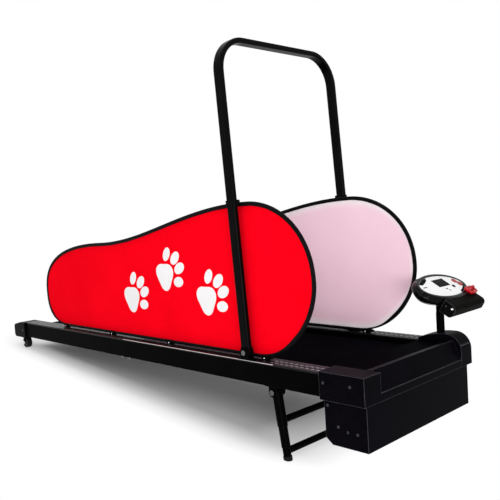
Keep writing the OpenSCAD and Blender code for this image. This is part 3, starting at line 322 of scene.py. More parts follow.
HOUSING = speckled("housing_plastic", (0.0005, 0.0004, 0.0009), (0.0019, 0.0015, 0.0030),
                   fleck=(0.007, 0.0058, 0.0090), rough=(0.34, 0.48), specular=0.010,
                   scale=1100.0, bite=0.00008)
DISH = black_wear_and_highlight("dish_plastic", (0.0010, 0.0009, 0.0013), (0.0022, 0.0020, 0.0027), rough=(0.07, 0.13),
                  grain=1500.0, bite=0.00001, edge=(0.016, 0.016, 0.018), specular=0.07)
APRON = speckled("console_plastic", (0.0012, 0.0013, 0.0011), (0.0032, 0.0034, 0.0029),
                 fleck=(0.008, 0.008, 0.0074), rough=(0.40, 0.55), specular=0.008,
                 scale=1500.0, bite=0.00006)
BELT = belt_finish()
MATT = black_wear_and_highlight("hood_matt", (0.0008, 0.0007, 0.0011), (0.0024, 0.0019, 0.0036), rough=(0.50, 0.64),
                  grain=1100.0, bite=0.00008, edge=(0.055, 0.052, 0.060), specular=0.001)
RUBBER = rubber("rubber", (0.004, 0.004, 0.0045), (0.010, 0.010, 0.010), grain=700.0, bite=0.0001,
                rough=(0.6, 0.8), specular=0.06)
TYRE = rubber("tyre_rubber", (0.0035, 0.0035, 0.004), (0.009, 0.009, 0.009), grain=500.0, bite=0.0001,
              rough=(0.5, 0.7), specular=0.08)
HUB = rubber("wheel_hub", (0.020, 0.020, 0.021), (0.036, 0.036, 0.038), grain=900.0, bite=0.00005,
             rough=(0.4, 0.6), specular=0.15)
STEEL = metal("steel", (0.60, 0.60, 0.62), (0.78, 0.78, 0.79), rough=(0.18, 0.34),
              brushed=(30.0, 900.0, 900.0))
DARK_STEEL = metal("motor_case", (0.10, 0.10, 0.11), (0.18, 0.18, 0.19), rough=(0.35, 0.55),
                   brushed=(500.0, 30.0, 500.0))
WOOD = board_wood()
BOARD = circuit()
TAPE = tape_finish()
RED_CLOTH = cloth_finish("panel_red", (0.86, 0.0003, 0.0075), (0.97, 0.0006, 0.0105),
                         edge=(0.80, 0.0004, 0.0080), sheen=0.0, specular=0.006)
PALE_INSIDE = cloth_finish("panel_pale_inside", (0.94, 0.63, 0.74), (0.97, 0.68, 0.785),
                      edge=(0.97, 0.93, 0.95), sheen=0.40, specular=0.5)
WHITE = white_finish("white_face", 0.86, 0.91, specular=0.4, rough=(0.30, 0.42))
GLASS = glass_finish()
RED_PLASTIC = red_finish("red_plastic", (0.36, 0.0010, 0.0060), (0.50, 0.0022, 0.0100), rough=(0.16, 0.26))
PAD_RED = red_finish("pad_red", (0.22, 0.0010, 0.0060), (0.32, 0.0016, 0.0100), rough=(0.30, 0.42))
PAW_WHITE = white_finish("motif_print", 0.79, 0.83, specular=0.15, rough=(0.50, 0.62))
# Silver of the strip dashes and beads, which stand in as painted highlights
SILVER_HIGHLIGHT = metal("silver_highlight", (0.55, 0.55, 0.57), (0.72, 0.72, 0.74), rough=(0.28, 0.42),
               brushed=(60.0, 400.0, 400.0))
SCREW = metal("screw_steel", (0.030, 0.030, 0.032), (0.060, 0.060, 0.064), rough=(0.22, 0.36),
              brushed=(300.0, 300.0, 300.0))
BOLT = metal("bolt_steel", (0.09, 0.09, 0.095), (0.16, 0.16, 0.17), rough=(0.22, 0.36),
             brushed=(300.0, 300.0, 300.0))
INK = black_wear_and_highlight("mark_ink", (0.055, 0.055, 0.058), (0.085, 0.085, 0.09), rough=(0.5, 0.6),
                 grain=900.0, bite=0.00001, edge=(0.12, 0.12, 0.12), specular=0.03)
PRINT = black_wear_and_highlight("print_black", (0.0015, 0.0015, 0.0017), (0.0032, 0.0032, 0.0035), rough=(0.45, 0.60),
                   grain=900.0, bite=0.00002, edge=(0.02, 0.02, 0.02), specular=0.015)
LCD = black_wear_and_highlight("display_window", (0.006, 0.007, 0.007), (0.013, 0.014, 0.014), rough=(0.40, 0.55),
                 grain=1800.0, bite=0.00001, edge=(0.02, 0.02, 0.02), specular=0.012)

FINISH = {
    BLACK_PAINT: ["rail_rear_near", "rail_rear_far", "rail_front_near", "rail_front_far", "cross_members",
                  "wheel_brackets", "upright_brackets", "leg_tubes", "leg_bars", "leg_brackets",
                  "motor_cradle", "front_beams", "splice_plates", "console_post"],
    BAR_PAINT: ["upright_bar"],
    STRIP: ["foot_strip_near"],
    FAR_STRIP: ["foot_strip_far"],
    PLASTIC: ["rear_caps", "top_clips", "base_clips", "power_inlet", "power_switch"],
    HOUSING: ["hood", "end_cheek", "lower_housing"],
    DISH: ["console_body"],
    PRINT: ["button_start"],
    APRON: ["console_apron"],
    BELT: ["walking_belt"],
    RUBBER: ["leg_feet", "deck_cushions", "drive_belt"],
    TYRE: ["wheel_near", "wheel_far"],
    BOLT: ["pivot_bolts", "splice_bolts"],
    STEEL: ["wheel_axles", "roller_axles", "roller_bearings", "console_pin", "rear_roller",
            "front_roller", "roller_pulley", "motor_rotor"],
    SCREW: ["tension_bolts", "housing_screws"],
    DARK_STEEL: ["motor_body"],
    WOOD: ["deck_board"],
    BOARD: ["control_board"],
    TAPE: ["panel_rim_near", "panel_rim_far"],
    RED_CLOTH: ["panel_cloth_near", "panel_cloth_far"],
    WHITE: ["console_face"],
    GLASS: ["console_display"],
    RED_PLASTIC: ["button_faster", "button_slower", "safety_key"],
}
for finish, names in FINISH.items():
    for name in names:
        slots = NODES[name].data.materials
        slots.clear()
        slots.append(finish)

# Rounded edges on the moulded and folded pieces: width of the rounding in millimetres
ROUNDED = {"hood": 1.6, "end_cheek": 2.0, "lower_housing": 2.0, "rear_caps": 1.6, "console_body": 0.8,
           "console_apron": 1.4, "console_face": 0.5, "console_display": 0.25,
           "rail_rear_near": 0.8, "rail_rear_far": 0.8, "rail_front_near": 0.8, "rail_front_far": 0.8,
           "foot_strip_near": 0.4, "foot_strip_far": 0.4, "upright_brackets": 0.6, "leg_brackets": 0.6,
           "wheel_brackets": 0.6, "top_clips": 0.8, "base_clips": 0.6, "wheel_near": 1.6, "wheel_far": 1.6,
           "leg_feet": 1.2, "power_inlet": 0.4, "power_switch": 0.4,
           "pivot_bolts": 0.5, "splice_bolts": 0.5, "tension_bolts": 0.4, "button_faster": 0.4,
           "button_slower": 0.4, "button_start": 0.4, "leg_tubes": 0.5, "console_post": 0.5,
           "upright_bar": 0.3, "walking_belt": 0.5, "splice_plates": 0.5, "console_pin": 0.4}
NODE_WELD = 0.000002
FLAT_TURN, EDGE_TURN = math.radians(0.4), math.radians(38)
FACE_WEIGHT = 60


def smooth(mesh):
    mesh.polygons.foreach_set("use_smooth", [True] * len(mesh.polygons))


def rounded(obj, width):
    weld = obj.modifiers.new("Weld", "WELD")
    weld.merge_threshold = NODE_WELD
    flat = obj.modifiers.new("Planar", "DECIMATE")
    flat.decimate_type = "DISSOLVE"
    flat.angle_limit = FLAT_TURN
    flat.delimit = {"NORMAL", "MATERIAL"}
    bevel = obj.modifiers.new("Bevel", "BEVEL")
    bevel.width = width * MM
    bevel.segments = 2
    bevel.limit_method = "ANGLE"
    bevel.angle_limit = EDGE_TURN
    bevel.use_clamp_overlap = True
    even = obj.modifiers.new("Normals", "WEIGHTED_NORMAL")
    even.weight = FACE_WEIGHT


for name, width in ROUNDED.items():
    smooth(NODES[name].data)
    rounded(NODES[name], width)


# Mesh helpers
def spot(place, x, y, z):
    return place @ Vector((x * MM, y * MM, z * MM))


def shifted(place, x, y, z):
    return place @ Matrix.Translation(Vector((x, y, z)) * MM)


def sideways(place, x, y, z, sign):
    """A place whose own z points out of the near (-1) or far (1) side."""
    return shifted(place, x, y, z) @ Matrix.Rotation(math.radians(-90 * sign), 4, "X")


def arc(r, start, stop, steps, x=0.0, y=0.0):
    """Points of a circle's arc, in degrees, both ends included."""
    turns = [math.radians(start + (stop - start) * i / steps) for i in range(steps + 1)]
    return [(x + r * math.cos(t), y + r * math.sin(t)) for t in turns]


def circle(r, middle):
    """A whole circle in steps of 15 degrees."""
    return arc(r, 0, 345, 23, *middle)


def oval(a, b, sides=96):
    turns = [2 * math.pi * k / sides for k in range(sides)]
    return [(a * math.cos(t), b * math.sin(t)) for t in turns]


def rounded_rect(a, b, r, steps=6, x=0.0, y=0.0):
    p, q = a / 2 - r, b / 2 - r
    out = []
    for cx, cy, start in ((p, q, 0), (-p, q, 90), (-p, -q, 180), (p, -q, 270)):
        out += arc(r, start, start + 90, steps, x + cx, y + cy)
    return out


def band(bm, a, b):
    """Faces between two rings of vertices; either ring may be a single point."""
    sides = max(len(a), len(b))
    for k in range(sides):
        j = (k + 1) % sides
        corners = (a[k % len(a)], a[j % len(a)], b[j % len(b)], b[k % len(b)])
        bm.faces.new(list(dict.fromkeys(corners)))


def loft(bm, rings, closed=False):
    """Faces between rings of points; the end rings are filled unless the rings close on themselves."""
    made = [[bm.verts.new(p) for p in ring] for ring in rings]
    for a, b in zip(made, made[1:] + (made[:1] if closed else [])):
        band(bm, a, b)
    if not closed:
        bm.faces.new(made[0][::-1])
        bm.faces.new(made[-1])


def mesh_object(name, bm, materials):
    bmesh.ops.recalc_face_normals(bm, faces=bm.faces)
    mesh = bpy.data.meshes.new(name)
    bm.to_mesh(mesh)
    bm.free()
    for m in materials:
        mesh.materials.append(m)
    smooth(mesh)
    obj = bpy.data.objects.new(name, mesh)
    bpy.context.scene.collection.objects.link(obj)
    return obj


def finish_piece(obj, body, slot, *nodes):
    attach(obj, body)
    if nodes:
        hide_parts(*nodes)
    return obj


CREASE, SOFT_CREASE = 30, 50


def part_of(name, bm, material, body, slot, *nodes, crease=CREASE):
    obj = mesh_object(name, bm, [material])
    obj.data.set_sharp_from_angle(angle=math.radians(crease))
    finish_piece(obj, body, slot, *nodes)


PLATE_WELD = 0.000005


def plate(name, loops, place, material, body, slot, thick, soft):
    """A flat piece cut to closed outlines, inner ones as holes, with softened edges."""
    curve = bpy.data.curves.new(name, "CURVE")
    curve.dimensions = "2D"
    curve.fill_mode = "BOTH"
    curve.extrude = (thick / 2 - soft) * MM
    curve.bevel_depth = soft * MM
    curve.bevel_resolution = 1
    curve.offset = -soft * MM
    for loop in loops:
        spline = curve.splines.new("POLY")
        spline.points.add(len(loop) - 1)
        for point, (x, y) in zip(spline.points, loop):
            point.co = (x * MM, y * MM, 0.0, 1.0)
        spline.use_cyclic_u = True
    shape = bpy.data.objects.new(name, curve)
    mesh = bpy.data.meshes.new_from_object(shape)
    bpy.data.objects.remove(shape)
    bpy.data.curves.remove(curve)
    bm = bmesh.new()
    bm.from_mesh(mesh)
    bpy.data.meshes.remove(mesh)
    bmesh.ops.remove_doubles(bm, verts=bm.verts, dist=PLATE_WELD)
    bmesh.ops.transform(bm, matrix=shifted(place, 0, 0, thick / 2), verts=bm.verts)
    part_of(name, bm, material, body, slot)


# Screw heads: rings of the dome as shares of radius and height, and the cross recess in it
SCREW_DOME = [(1.0, -0.25), (1.0, 0.4), (0.93, 0.72), (0.78, 0.92), (0.62, 1.0), (0.56, 1.0), (0.16, 1.0)]
RECESS = {"middle": 0.2, "arms": 0.6, "deep": 0.6}


def screw_head(bm, place, r, h, sides):
    """A domed head with a cross recess."""
    rings = []
    for share, rise in SCREW_DOME:
        ring = []
        for k in range(sides):
            sunk = share < RECESS["middle"] or (share < RECESS["arms"] and k % (sides // 4) == 0)
            turn = 2 * math.pi * k / sides
            ring.append(spot(place, r * share * math.cos(turn), r * share * math.sin(turn),
                             h * rise - (RECESS["deep"] * h if sunk else 0.0)))
        rings.append(ring)
    loft(bm, rings)


def screws(name, places, size, material, body, *nodes, sides=24):
    """One piece of screw heads, each at a place whose own z points out of the surface."""
    bm = bmesh.new()
    for place in places:
        screw_head(bm, place, *size, sides)
    part_of(name, bm, material, body, "steel", *nodes)


# Side panels: outline as in the solids
PANEL = {"rear": 185.0, "len": 1529.0, "high": 458.0, "y": 234.0, "base": 72.4, "shift": 24.0}
FOOT = (0.11, 0.846)
CURVES = [((FOOT[1], 0), (0.938, 0), (1, 0.263), (1, 0.49)),
          ((1, 0.49), (1, 0.788), (0.928, 1), (0.836, 1)),
          ((0.836, 1), (0.64, 1), (0.494, 0.75582), (0.3, 0.75)),
          ((0.3, 0.75), (0.136, 0.74508), (0, 0.64), (0, 0.32)),
          ((0, 0.32), (0, 0.2), (0, 0), (FOOT[0], 0))]
CURVE_STEPS, FOOT_STEPS = 36, 40


def panel_outline():
    """Panel outline in millimetres along and up the panel, counter-clockwise."""
    points = []
    for curve in CURVES:
        for i in range(CURVE_STEPS):
            t = i / CURVE_STEPS
            k = ((1 - t) ** 3, 3 * (1 - t) ** 2 * t, 3 * (1 - t) * t * t, t ** 3)
            points.append(Vector((sum(q * p[0] for q, p in zip(k, curve)) * PANEL["len"],
                                  sum(q * p[1] for q, p in zip(k, curve)) * PANEL["high"])))
    for i in range(FOOT_STEPS):
        points.append(Vector(((FOOT[0] + (FOOT[1] - FOOT[0]) * i / FOOT_STEPS) * PANEL["len"], 0.0)))
    return points


OUTLINE = panel_outline()


def evenly(points, pitch):
    """The closed outline again with points an even pitch apart."""
    loop = points + [points[0]]
    runs = [(b - a).length for a, b in zip(loop, loop[1:])]
    total = sum(runs)
    count = int(total / pitch)
    out, at, i = [], 0.0, 0
    for k in range(count):
        target = total * k / count
        while at + runs[i] < target:
            at += runs[i]
            i += 1
        out.append(loop[i].lerp(loop[i + 1], (target - at) / runs[i]))
    return out


def inward(points):
    """Unit normals that point into a counter-clockwise outline."""
    n = len(points)
    out = []
    for i in range(n):
        t = (points[(i + 1) % n] - points[i - 1]).normalized()
        out.append(Vector((-t.y, t.x)))
    return out


class PanelFrame:
    """Places panel coordinates (along, up, outwards) of one side in the part's frame."""

    def __init__(self, side):
        self.sign = -1.0 if side == "near" else 1.0
        self.start = PANEL["rear"] + (PANEL["shift"] if side == "far" else 0.0)

    def __call__(self, along, up, out):
        return deck(self.start + along, self.sign * (PANEL["y"] + out), PANEL["base"] + up)


def chains(points):
    """Lower and upper edge of the outline as functions of the distance along, and its two ends."""
    low = min(range(len(points)), key=lambda i: points[i].x)
    top = max(range(len(points)), key=lambda i: points[i].x)
    n = len(points)
    upper = [points[(top + k) % n] for k in range((low - top) % n + 1)][::-1]
    lower = [points[(low + k) % n] for k in range((top - low) % n + 1)]

    def height(chain, x):
        for a, b in zip(chain, chain[1:]):
            if a.x <= x <= b.x:
                return a.y + (b.y - a.y) * (x - a.x) / max(b.x - a.x, 1e-9)
        return chain[-1].y if x > chain[-1].x else chain[0].y

    return (lambda x: height(lower, x)), (lambda x: height(upper, x)), points[low].x, points[top].x


# Cloth: how far its edge lies inside the outline, and how it narrows where it is sewn round its rod
CLOTH_IN = 9.0
CLOTH_T = 1.2
HEM = {"from": 0.75, "over": 0.23, "cloth": 5.5, "tape": 0.58}


def hem(n):
    """1 along the straight foot of a panel, where the cloth is sewn round its rod, and 0 elsewhere."""
    t = min(max((n.y - HEM["from"]) / HEM["over"], 0.0), 1.0)
    return t * t * (3 - 2 * t)


CLOTH_EDGE = chains([p + (CLOTH_IN - HEM["cloth"] * hem(n)) * n for p, n in zip(OUTLINE, inward(OUTLINE))])

# Relief of the stretched cloth, in millimetres
CROWN = {"high": 2.6, "up": 0.6, "along": 0.4}
RIPPLE = {"high": 0.35, "along": 0.058, "bend": 1.7, "up": 0.013, "reach": 38.0}
PULL = {"deep": 0.9, "along": 1245.0, "up": 440.0, "half": (70.0, 60.0)}
FOLD = {"high": 0.8, "along": 715.0, "up": 337.0, "lean": 0.5, "half": (7.0, 26.0)}
SWAY = {"high": 0.45, "along": 0.0075, "along_from": 0.6, "up": 0.0105, "up_from": 0.3}


def bell(x, y, half):
    return math.exp(-(x / half[0]) ** 2 - (y / half[1]) ** 2)


def cloth_out(f, g, along, up, reach):
    """How far the stretched cloth stands out: a slight crown with soft pulls at the clips and edge."""
    crown = CROWN["high"] * (4 * f * (1 - f)) ** CROWN["up"] * (4 * g * (1 - g)) ** CROWN["along"]
    bend = RIPPLE["bend"] * math.sin(up * RIPPLE["up"])
    ripple = RIPPLE["high"] * math.sin(along * RIPPLE["along"] + bend) * math.exp(-reach / RIPPLE["reach"])
    pull = PULL["deep"] * bell(along - PULL["along"], up - PULL["up"], PULL["half"])
    rise = up - FOLD["up"]
    fold = FOLD["high"] * bell((along - FOLD["along"]) + FOLD["lean"] * rise, rise, FOLD["half"])
    sway = (SWAY["high"] * math.sin(along * SWAY["along"] + SWAY["along_from"])
            * math.sin(up * SWAY["up"] + SWAY["up_from"]))
    return crown + ripple - pull + fold + sway * 4 * f * (1 - f)


COLUMNS, ROWS = 150, 44
END_INSET, END_REACH = 0.02, 1.5
EDGE_FADE = {"from": 4.0, "over": 30.0, "power": 1.6}


def make_cloth(side, place):
    """Two sheets of cloth, red outside and pale pink inside, closed along their border."""
    lower, upper, x0, x1 = CLOTH_EDGE
    bm = bmesh.new()
    near = bm.verts.layers.float.new("edge_near")
    sheets = []
    for face in (0, 1):
        grid = []
        for i in range(COLUMNS + 1):
            x = x0 + (x1 - x0) * (1 - math.cos(math.pi * i / COLUMNS)) / 2
            x = min(max(x, x0 + END_INSET), x1 - END_INSET)
            lo, hi = lower(x), upper(x)
            g = (x - x0) / (x1 - x0)
            column = []
            for j in range(ROWS + 1):
                f = (1 - math.cos(math.pi * j / ROWS)) / 2
                f = 0.5 * f + 0.5 * j / ROWS
                up = lo + (hi - lo) * f
                reach = min(up - lo, hi - up, (x - x0) * END_REACH, (x1 - x) * END_REACH)
                out = cloth_out(f, g, x, up, max(reach, 0.0)) + (CLOTH_T / 2 if face == 0 else -CLOTH_T / 2)
                v = bm.verts.new(place(x, up, out))
                away = max(reach - EDGE_FADE["from"], 0.0) / EDGE_FADE["over"]
                v[near] = max(0.0, 1.0 - away) ** EDGE_FADE["power"]
                column.append(v)
            grid.append(column)
        for i in range(COLUMNS):
            for j in range(ROWS):
                q = bm.faces.new((grid[i][j], grid[i + 1][j], grid[i + 1][j + 1], grid[i][j + 1]))
                q.material_index = face
        sheets.append(grid)
    front, back = sheets
    border = ([(i, 0) for i in range(COLUMNS)] + [(COLUMNS, j) for j in range(ROWS)]
              + [(i, ROWS) for i in range(COLUMNS, 0, -1)] + [(0, j) for j in range(ROWS, 0, -1)])
    for (a, b), (c, d) in zip(border, border[1:] + border[:1]):
        bm.faces.new((front[a][b], front[c][d], back[c][d], back[a][b]))
    return mesh_object("panel_cloth_" + side + "_sewn", bm, [RED_CLOTH, PALE_INSIDE])


# Binding tape: its section as steps inwards and outwards, and the pucker of its sewn edge
TAPE_SECTION = [(4.0, 4.0), (2.4, 3.7), (1.1, 2.8), (0.3, 1.5), (0.0, 0.0), (0.3, -1.5), (1.1, -2.8),
                (2.4, -3.7), (4.0, -4.0), (6.2, -3.7), (8.6, -3.3), (11.2, -3.0), (12.5, -2.8),
                (13.0, -2.3), (13.0, 2.3), (12.5, 2.8), (11.2, 3.0), (8.6, 3.3), (6.2, 3.7)]
TAPE_PITCH = 7.0
PUCKER = [(0.12, 2.4), (0.08, 0.83)]
PUCKER_FROM = 5


def make_binding(side, place):
    points = evenly(OUTLINE, TAPE_PITCH)
    bm = bmesh.new()
    rings = []
    for i, (p, n) in enumerate(zip(points, inward(points))):
        pucker = sum(high * math.sin(i * step) for high, step in PUCKER)
        ring = []
        for a, b in TAPE_SECTION:
            q = p + a * (1 - HEM["tape"] * hem(n)) * n
            out = b + (pucker if a > PUCKER_FROM else 0.0) * (1 if b > 0 else -1)
            ring.append(bm.verts.new(place(q.x, q.y, out)))
        rings.append(ring)
    size = len(TAPE_SECTION)
    for r, s in zip(rings, rings[1:] + rings[:1]):
        for k in range(size):
            bm.faces.new((r[k], s[k], s[(k + 1) % size], r[(k + 1) % size]))
    return mesh_object("panel_binding_" + side, bm, [TAPE])


STITCH = {"pitch": 5.2, "len": 3.4, "half": 0.45, "high": 0.45, "at": 10.6, "out": 3.05, "sunk": 0.2}
STITCH_ALONG = [(-0.5, 0.25), (-0.3, 0.9), (0.0, 1.0), (0.3, 0.9), (0.5, 0.25)]
STITCH_ACROSS = [(-1, 0.0), (-0.6, 0.8), (0.6, 0.8), (1, 0.0)]


def make_stitches(side, place):
    points = evenly(OUTLINE, STITCH["pitch"])
    size = len(STITCH_ACROSS)
    bm = bmesh.new()
    for p, n in zip(points, inward(points)):
        t = Vector((n.y, -n.x))
        c = p + STITCH["at"] * (1 - HEM["tape"] * hem(n)) * n
        for face in (1, -1):
            rings = []
            for along, swell in STITCH_ALONG:
                ring = []
                for across, rise in STITCH_ACROSS:
                    q = c + t * (along * STITCH["len"]) + n * (across * STITCH["half"] * swell)
                    out = STITCH["out"] - STITCH["sunk"] + rise * STITCH["high"] * swell
                    ring.append(bm.verts.new(place(q.x, q.y, face * out)))
                rings.append(ring)
            for r, s in zip(rings, rings[1:]):
                for k in range(size):
                    bm.faces.new((r[k], s[k], s[(k + 1) % size], r[(k + 1) % size]))
            bm.faces.new(rings[0])
            bm.faces.new(rings[-1][::-1])
    return mesh_object("panel_stitches_" + side, bm, [TAPE])


# Base rod: its ends as shares of the panel, and each domed end as steps in and radii
ROD = {"from": 0.085, "to": 0.885, "r": 5.0, "runs": 24, "sides": 20}
ROD_END = [(0.0, 0.0), (0.6, 2.6), (1.8, 4.2), (4.0, ROD["r"])]


def make_rod(side, place):
    """Base rod of a panel with domed ends."""
    bm = bmesh.new()
    x0, x1, dome = ROD["from"] * PANEL["len"], ROD["to"] * PANEL["len"], ROD_END[-1][0]
    run = x1 - x0 - 2 * dome
    stations = [(x0 + d, r) for d, r in ROD_END]
    stations += [(x0 + dome + run * i / ROD["runs"], ROD["r"]) for i in range(1, ROD["runs"])]
    stations += [(x1 - d, r) for d, r in reversed(ROD_END)]
    rings = [[bm.verts.new(place(x, up, out)) for out, up in oval(r, r, ROD["sides"] if r else 1)]
             for x, r in stations]
    for a, b in zip(rings, rings[1:]):
        band(bm, a, b)
    return mesh_object("panel_rod_" + side, bm, [PLASTIC])


def make_panel(side):
    place = PanelFrame(side)
    body = "panel_" + side
    cloth = finish_piece(make_cloth(side, place), body, "panel_red", "panel_cloth_" + side)
    tape = finish_piece(make_binding(side, place), body, "panel_binding", "panel_rim_" + side)
    thread = finish_piece(make_stitches(side, place), body, "panel_binding")
    finish_piece(make_rod(side, place), body, "black_paint", "panel_rim_" + side)


for side in ("near", "far"):
    make_panel(side)

# Console: bulged glossy dish as steps outwards and heights, printed face, bolts and the safety key
DISH_AT = (-19.0, 2.0)
DISH_AXES = (60.0, 122.0)
SHELL = [(0.3, 54.4), (1.0, 53.8), (1.7, 52.3), (3.4, 49.8), (6.4, 46.6), (8.6, 43.6), (9.3, 40.4),
         (9.0, 37.2), (7.4, 33.2), (3.8, 28.8), (-1.2, 24.2), (-6.6, 20.2), (-11.4, 17), (-14.6, 14.7),
         (-22, 14.7), (-24, 16), (-12, 34), (-2, 50)]
FACE_HIGH = 53.0
FACE = shifted(CONSOLE, *DISH_AT, FACE_HIGH)
FACE_AXES = (50.9, 112.9)
FASTER, SLOWER, START = (-9.5, 88), (9, 96), (12, 51)
PAD_R, PAD_NECK, PAD_STEPS = 9.4, 3.6, 30
PAD_HOLE_R = 5.6
START_RING = (6.4, 4.6)
# Marks and display window: sizes, corner, steps of the corner, place on the face
FACE_MARKS = [(4, 21, 1.2, 3, -9.5, -86.5), (4, 12, 1.2, 3, 15.8, 4), (7, 6, 2.4, 3, 25, 9)]
DISPLAY = (24, 46, 2.0, 4, -15, 13)
DISPLAY_HIGH = 0.6


def make_dish():
    bm = bmesh.new()
    place = shifted(CONSOLE, *DISH_AT, 0)
    loft(bm, [[spot(place, x, y, z) for x, y in oval(DISH_AXES[0] + out, DISH_AXES[1] + out)]
              for out, z in SHELL], closed=True)
    part_of("console_dish_shell", bm, DISH, "console", "black_plastic", crease=SOFT_CREASE)


def on_face(start, stop, steps=8):
    """Points along the edge of the white face, in degrees of its oval."""
    return [(FACE_AXES[0] * x, FACE_AXES[1] * y) for x, y in arc(1.0, start, stop, steps)]


def make_face_prints():
    (ax, ay), (bx, by) = FASTER, SLOWER
    lean = math.degrees(math.atan2(by - ay, bx - ax))
    neck = math.degrees(math.asin(PAD_NECK / PAD_R))
    pad = arc(PAD_R, lean + neck, lean + 360 - neck, PAD_STEPS, ax, ay)
    pad += arc(PAD_R, lean + 180 + neck, lean + 540 - neck, PAD_STEPS, bx, by)
    holes = [circle(PAD_HOLE_R, middle) for middle in (FASTER, SLOWER)]
    plate("speed_pad", [pad] + holes, FACE, PAD_RED, "console", "red_plastic", thick=2.6, soft=0.7)
    ring = [circle(r, START) for r in START_RING]
    plate("start_ring", ring, FACE, PRINT, "console", "black_plastic", thick=1.0, soft=0.3)
    # The tab by the safety key is partly the dish rim and partly a painted shadow of the key
    tabs_and_key_shadow = [on_face(196, 238) + [(-21, -86), (-25, -70), (-35, -44), (-41, -34)],
            [(37.7, 53), (30, 75), (22, 93)] + on_face(76, 25)]
    plate("face_tabs_and_key_shadow", tabs_and_key_shadow, FACE, PRINT, "console", "black_plastic", thick=0.4, soft=0.12)
    marks = [rounded_rect(*mark) for mark in FACE_MARKS]
    plate("face_marks", marks, FACE, INK, "console", "black_plastic", thick=0.25, soft=0.08)
    place = shifted(FACE, 0, 0, DISPLAY_HIGH)
    plate("display_window", [rounded_rect(*DISPLAY)], place, LCD, "console", "display_gloss",
          thick=0.2, soft=0.06)


# Heads on the near side of the console's apron: name, place, radius and height, finish; the bright steel
# bolt stands in as a painted highlight where the apron's rounded corner catches the light
APRON_HEADS = [("console_glint_bolt", (73.0, -76.0, 42.0), (4.0, 2.4), STEEL),
               ("console_screw", (52.0, -76.0, 38.0), (2.8, 1.6), SCREW)]


def make_apron_bolts():
    for name, at, size, material in APRON_HEADS:
        screws(name, [sideways(CONSOLE, *at, -1)], size, material, "console")


# Safety key: its cap as steps inwards and heights, the peg below it and the loop to pull it by
KEY_AT = (34.0, 88.0, 55.3)
KEY = {"long": 32, "wide": 42, "corner": 9, "least": 1.5}
KEY_SKIN = [(1.6, 0.0), (0.4, 0.6), (0.0, 2.2), (0.0, 7.4), (0.5, 9.4), (1.8, 10.6), (3.6, 11.0),
            (5.4, 10.6), (6.6, 9.4), (7.4, 8.2)]
KEY_PEG = [(2.6, -12), (4, -10.6), (4, 0.4)]
PEG_SIDES = 24
GRIP = {"half": 13.0, "rise": 11.6, "base": 7.4, "wide": 3.4, "thick": 3.2, "steps": 24, "sides": 16}


def make_key():
    place = shifted(CONSOLE, *KEY_AT)
    bm = bmesh.new()
    rings = []
    for d, z in KEY_SKIN:
        edge = rounded_rect(KEY["long"] - 2 * d, KEY["wide"] - 2 * d, max(KEY["corner"] - d, KEY["least"]))
        rings.append([spot(place, x, y, z) for x, y in edge])
    loft(bm, rings)
    grip = []
    for i in range(GRIP["steps"] + 1):
        t = math.pi * i / GRIP["steps"]
        grip.append([spot(place, across, -(GRIP["half"] + lift) * math.cos(t),
                          GRIP["base"] + (GRIP["rise"] + lift) * math.sin(t))
                     for across, lift in oval(GRIP["wide"], GRIP["thick"], GRIP["sides"])])
    loft(bm, grip)
    loft(bm, [[spot(place, x, y, z) for x, y in oval(r, r, PEG_SIDES)] for r, z in KEY_PEG])
    part_of("safety_key_grip", bm, RED_PLASTIC, "safety_key", "red_plastic", "safety_key",
            crease=SOFT_CREASE)


make_dish()
make_face_prints()
make_apron_bolts()
make_key()

# Rails: silver dashes and edge beads on the foot strips that stand in as painted highlights on their ribs
# and top edges, screws in the housing, the clips and the caps
DASH = {"long": 12, "wide": 2.6, "corner": 1.2, "steps": 3, "from": 1554, "pitch": 19, "count": 10,
        "up": 65}
DASH_ROWS = (237.75, 258.75)
BEAD = {"from": 814, "to": 1570, "runs": 12, "r": 1.2, "tip": 2, "tip_r": 0.3, "y": 273.3, "up": 63.5,
        "sides": 10}
HOUSING_HEAD, CLIP_HEAD, CAP_HEAD = (4.4, 2.3), (2.6, 1.4), (5.0, 0.8)
HOOD_SCREWS = [(1757, 278.5, 41), (1844.5, 278.5, 42)]
TRAY_NEAR = [(1755, 261.5, -23), (1787, 261.5, -76), (1818, 261.5, -85), (1849, 261.5, -85)]
TRAY_FAR = [(1764, 261.5, -18), (1858, 261.5, -18)]
CLIP_SHARES = (0.1, 0.33, 0.565, 0.865)
CLIP_OUT, CLIP_DROP, CLIP_SIDES = 7.5, 3.2, 16
CAP_SCREW = (12.0, 282.15, 28.0)


def make_strip_highlights(side, sign):
    # Painted highlights: silver dashes where the strip's ribs catch the light
    size = (DASH["long"], DASH["wide"], DASH["corner"], DASH["steps"])
    dashes = [rounded_rect(*size, DASH["from"] + DASH["pitch"] * i, sign * y)
              for y in DASH_ROWS for i in range(DASH["count"])]
    plate("strip_highlight_dashes_" + side, dashes, shifted(DECK, 0, 0, DASH["up"]), SILVER_HIGHLIGHT, "chassis", "steel",
          thick=0.5, soft=0.15)
    # Painted highlight: a silver bead along the strip's outer top edge
    bm = bmesh.new()
    run = BEAD["to"] - BEAD["from"]
    stations = [(BEAD["from"] - BEAD["tip"], BEAD["tip_r"])]
    stations += [(BEAD["from"] + run * i / BEAD["runs"], BEAD["r"]) for i in range(BEAD["runs"] + 1)]
    stations += [(BEAD["to"] + BEAD["tip"], BEAD["tip_r"])]
    loft(bm, [[deck(u, sign * BEAD["y"] + x, BEAD["up"] + z) for x, z in oval(r, r, BEAD["sides"])]
              for u, r in stations])
    part_of("strip_highlight_bead_" + side, bm, SILVER_HIGHLIGHT, "chassis", "steel", crease=SOFT_CREASE)


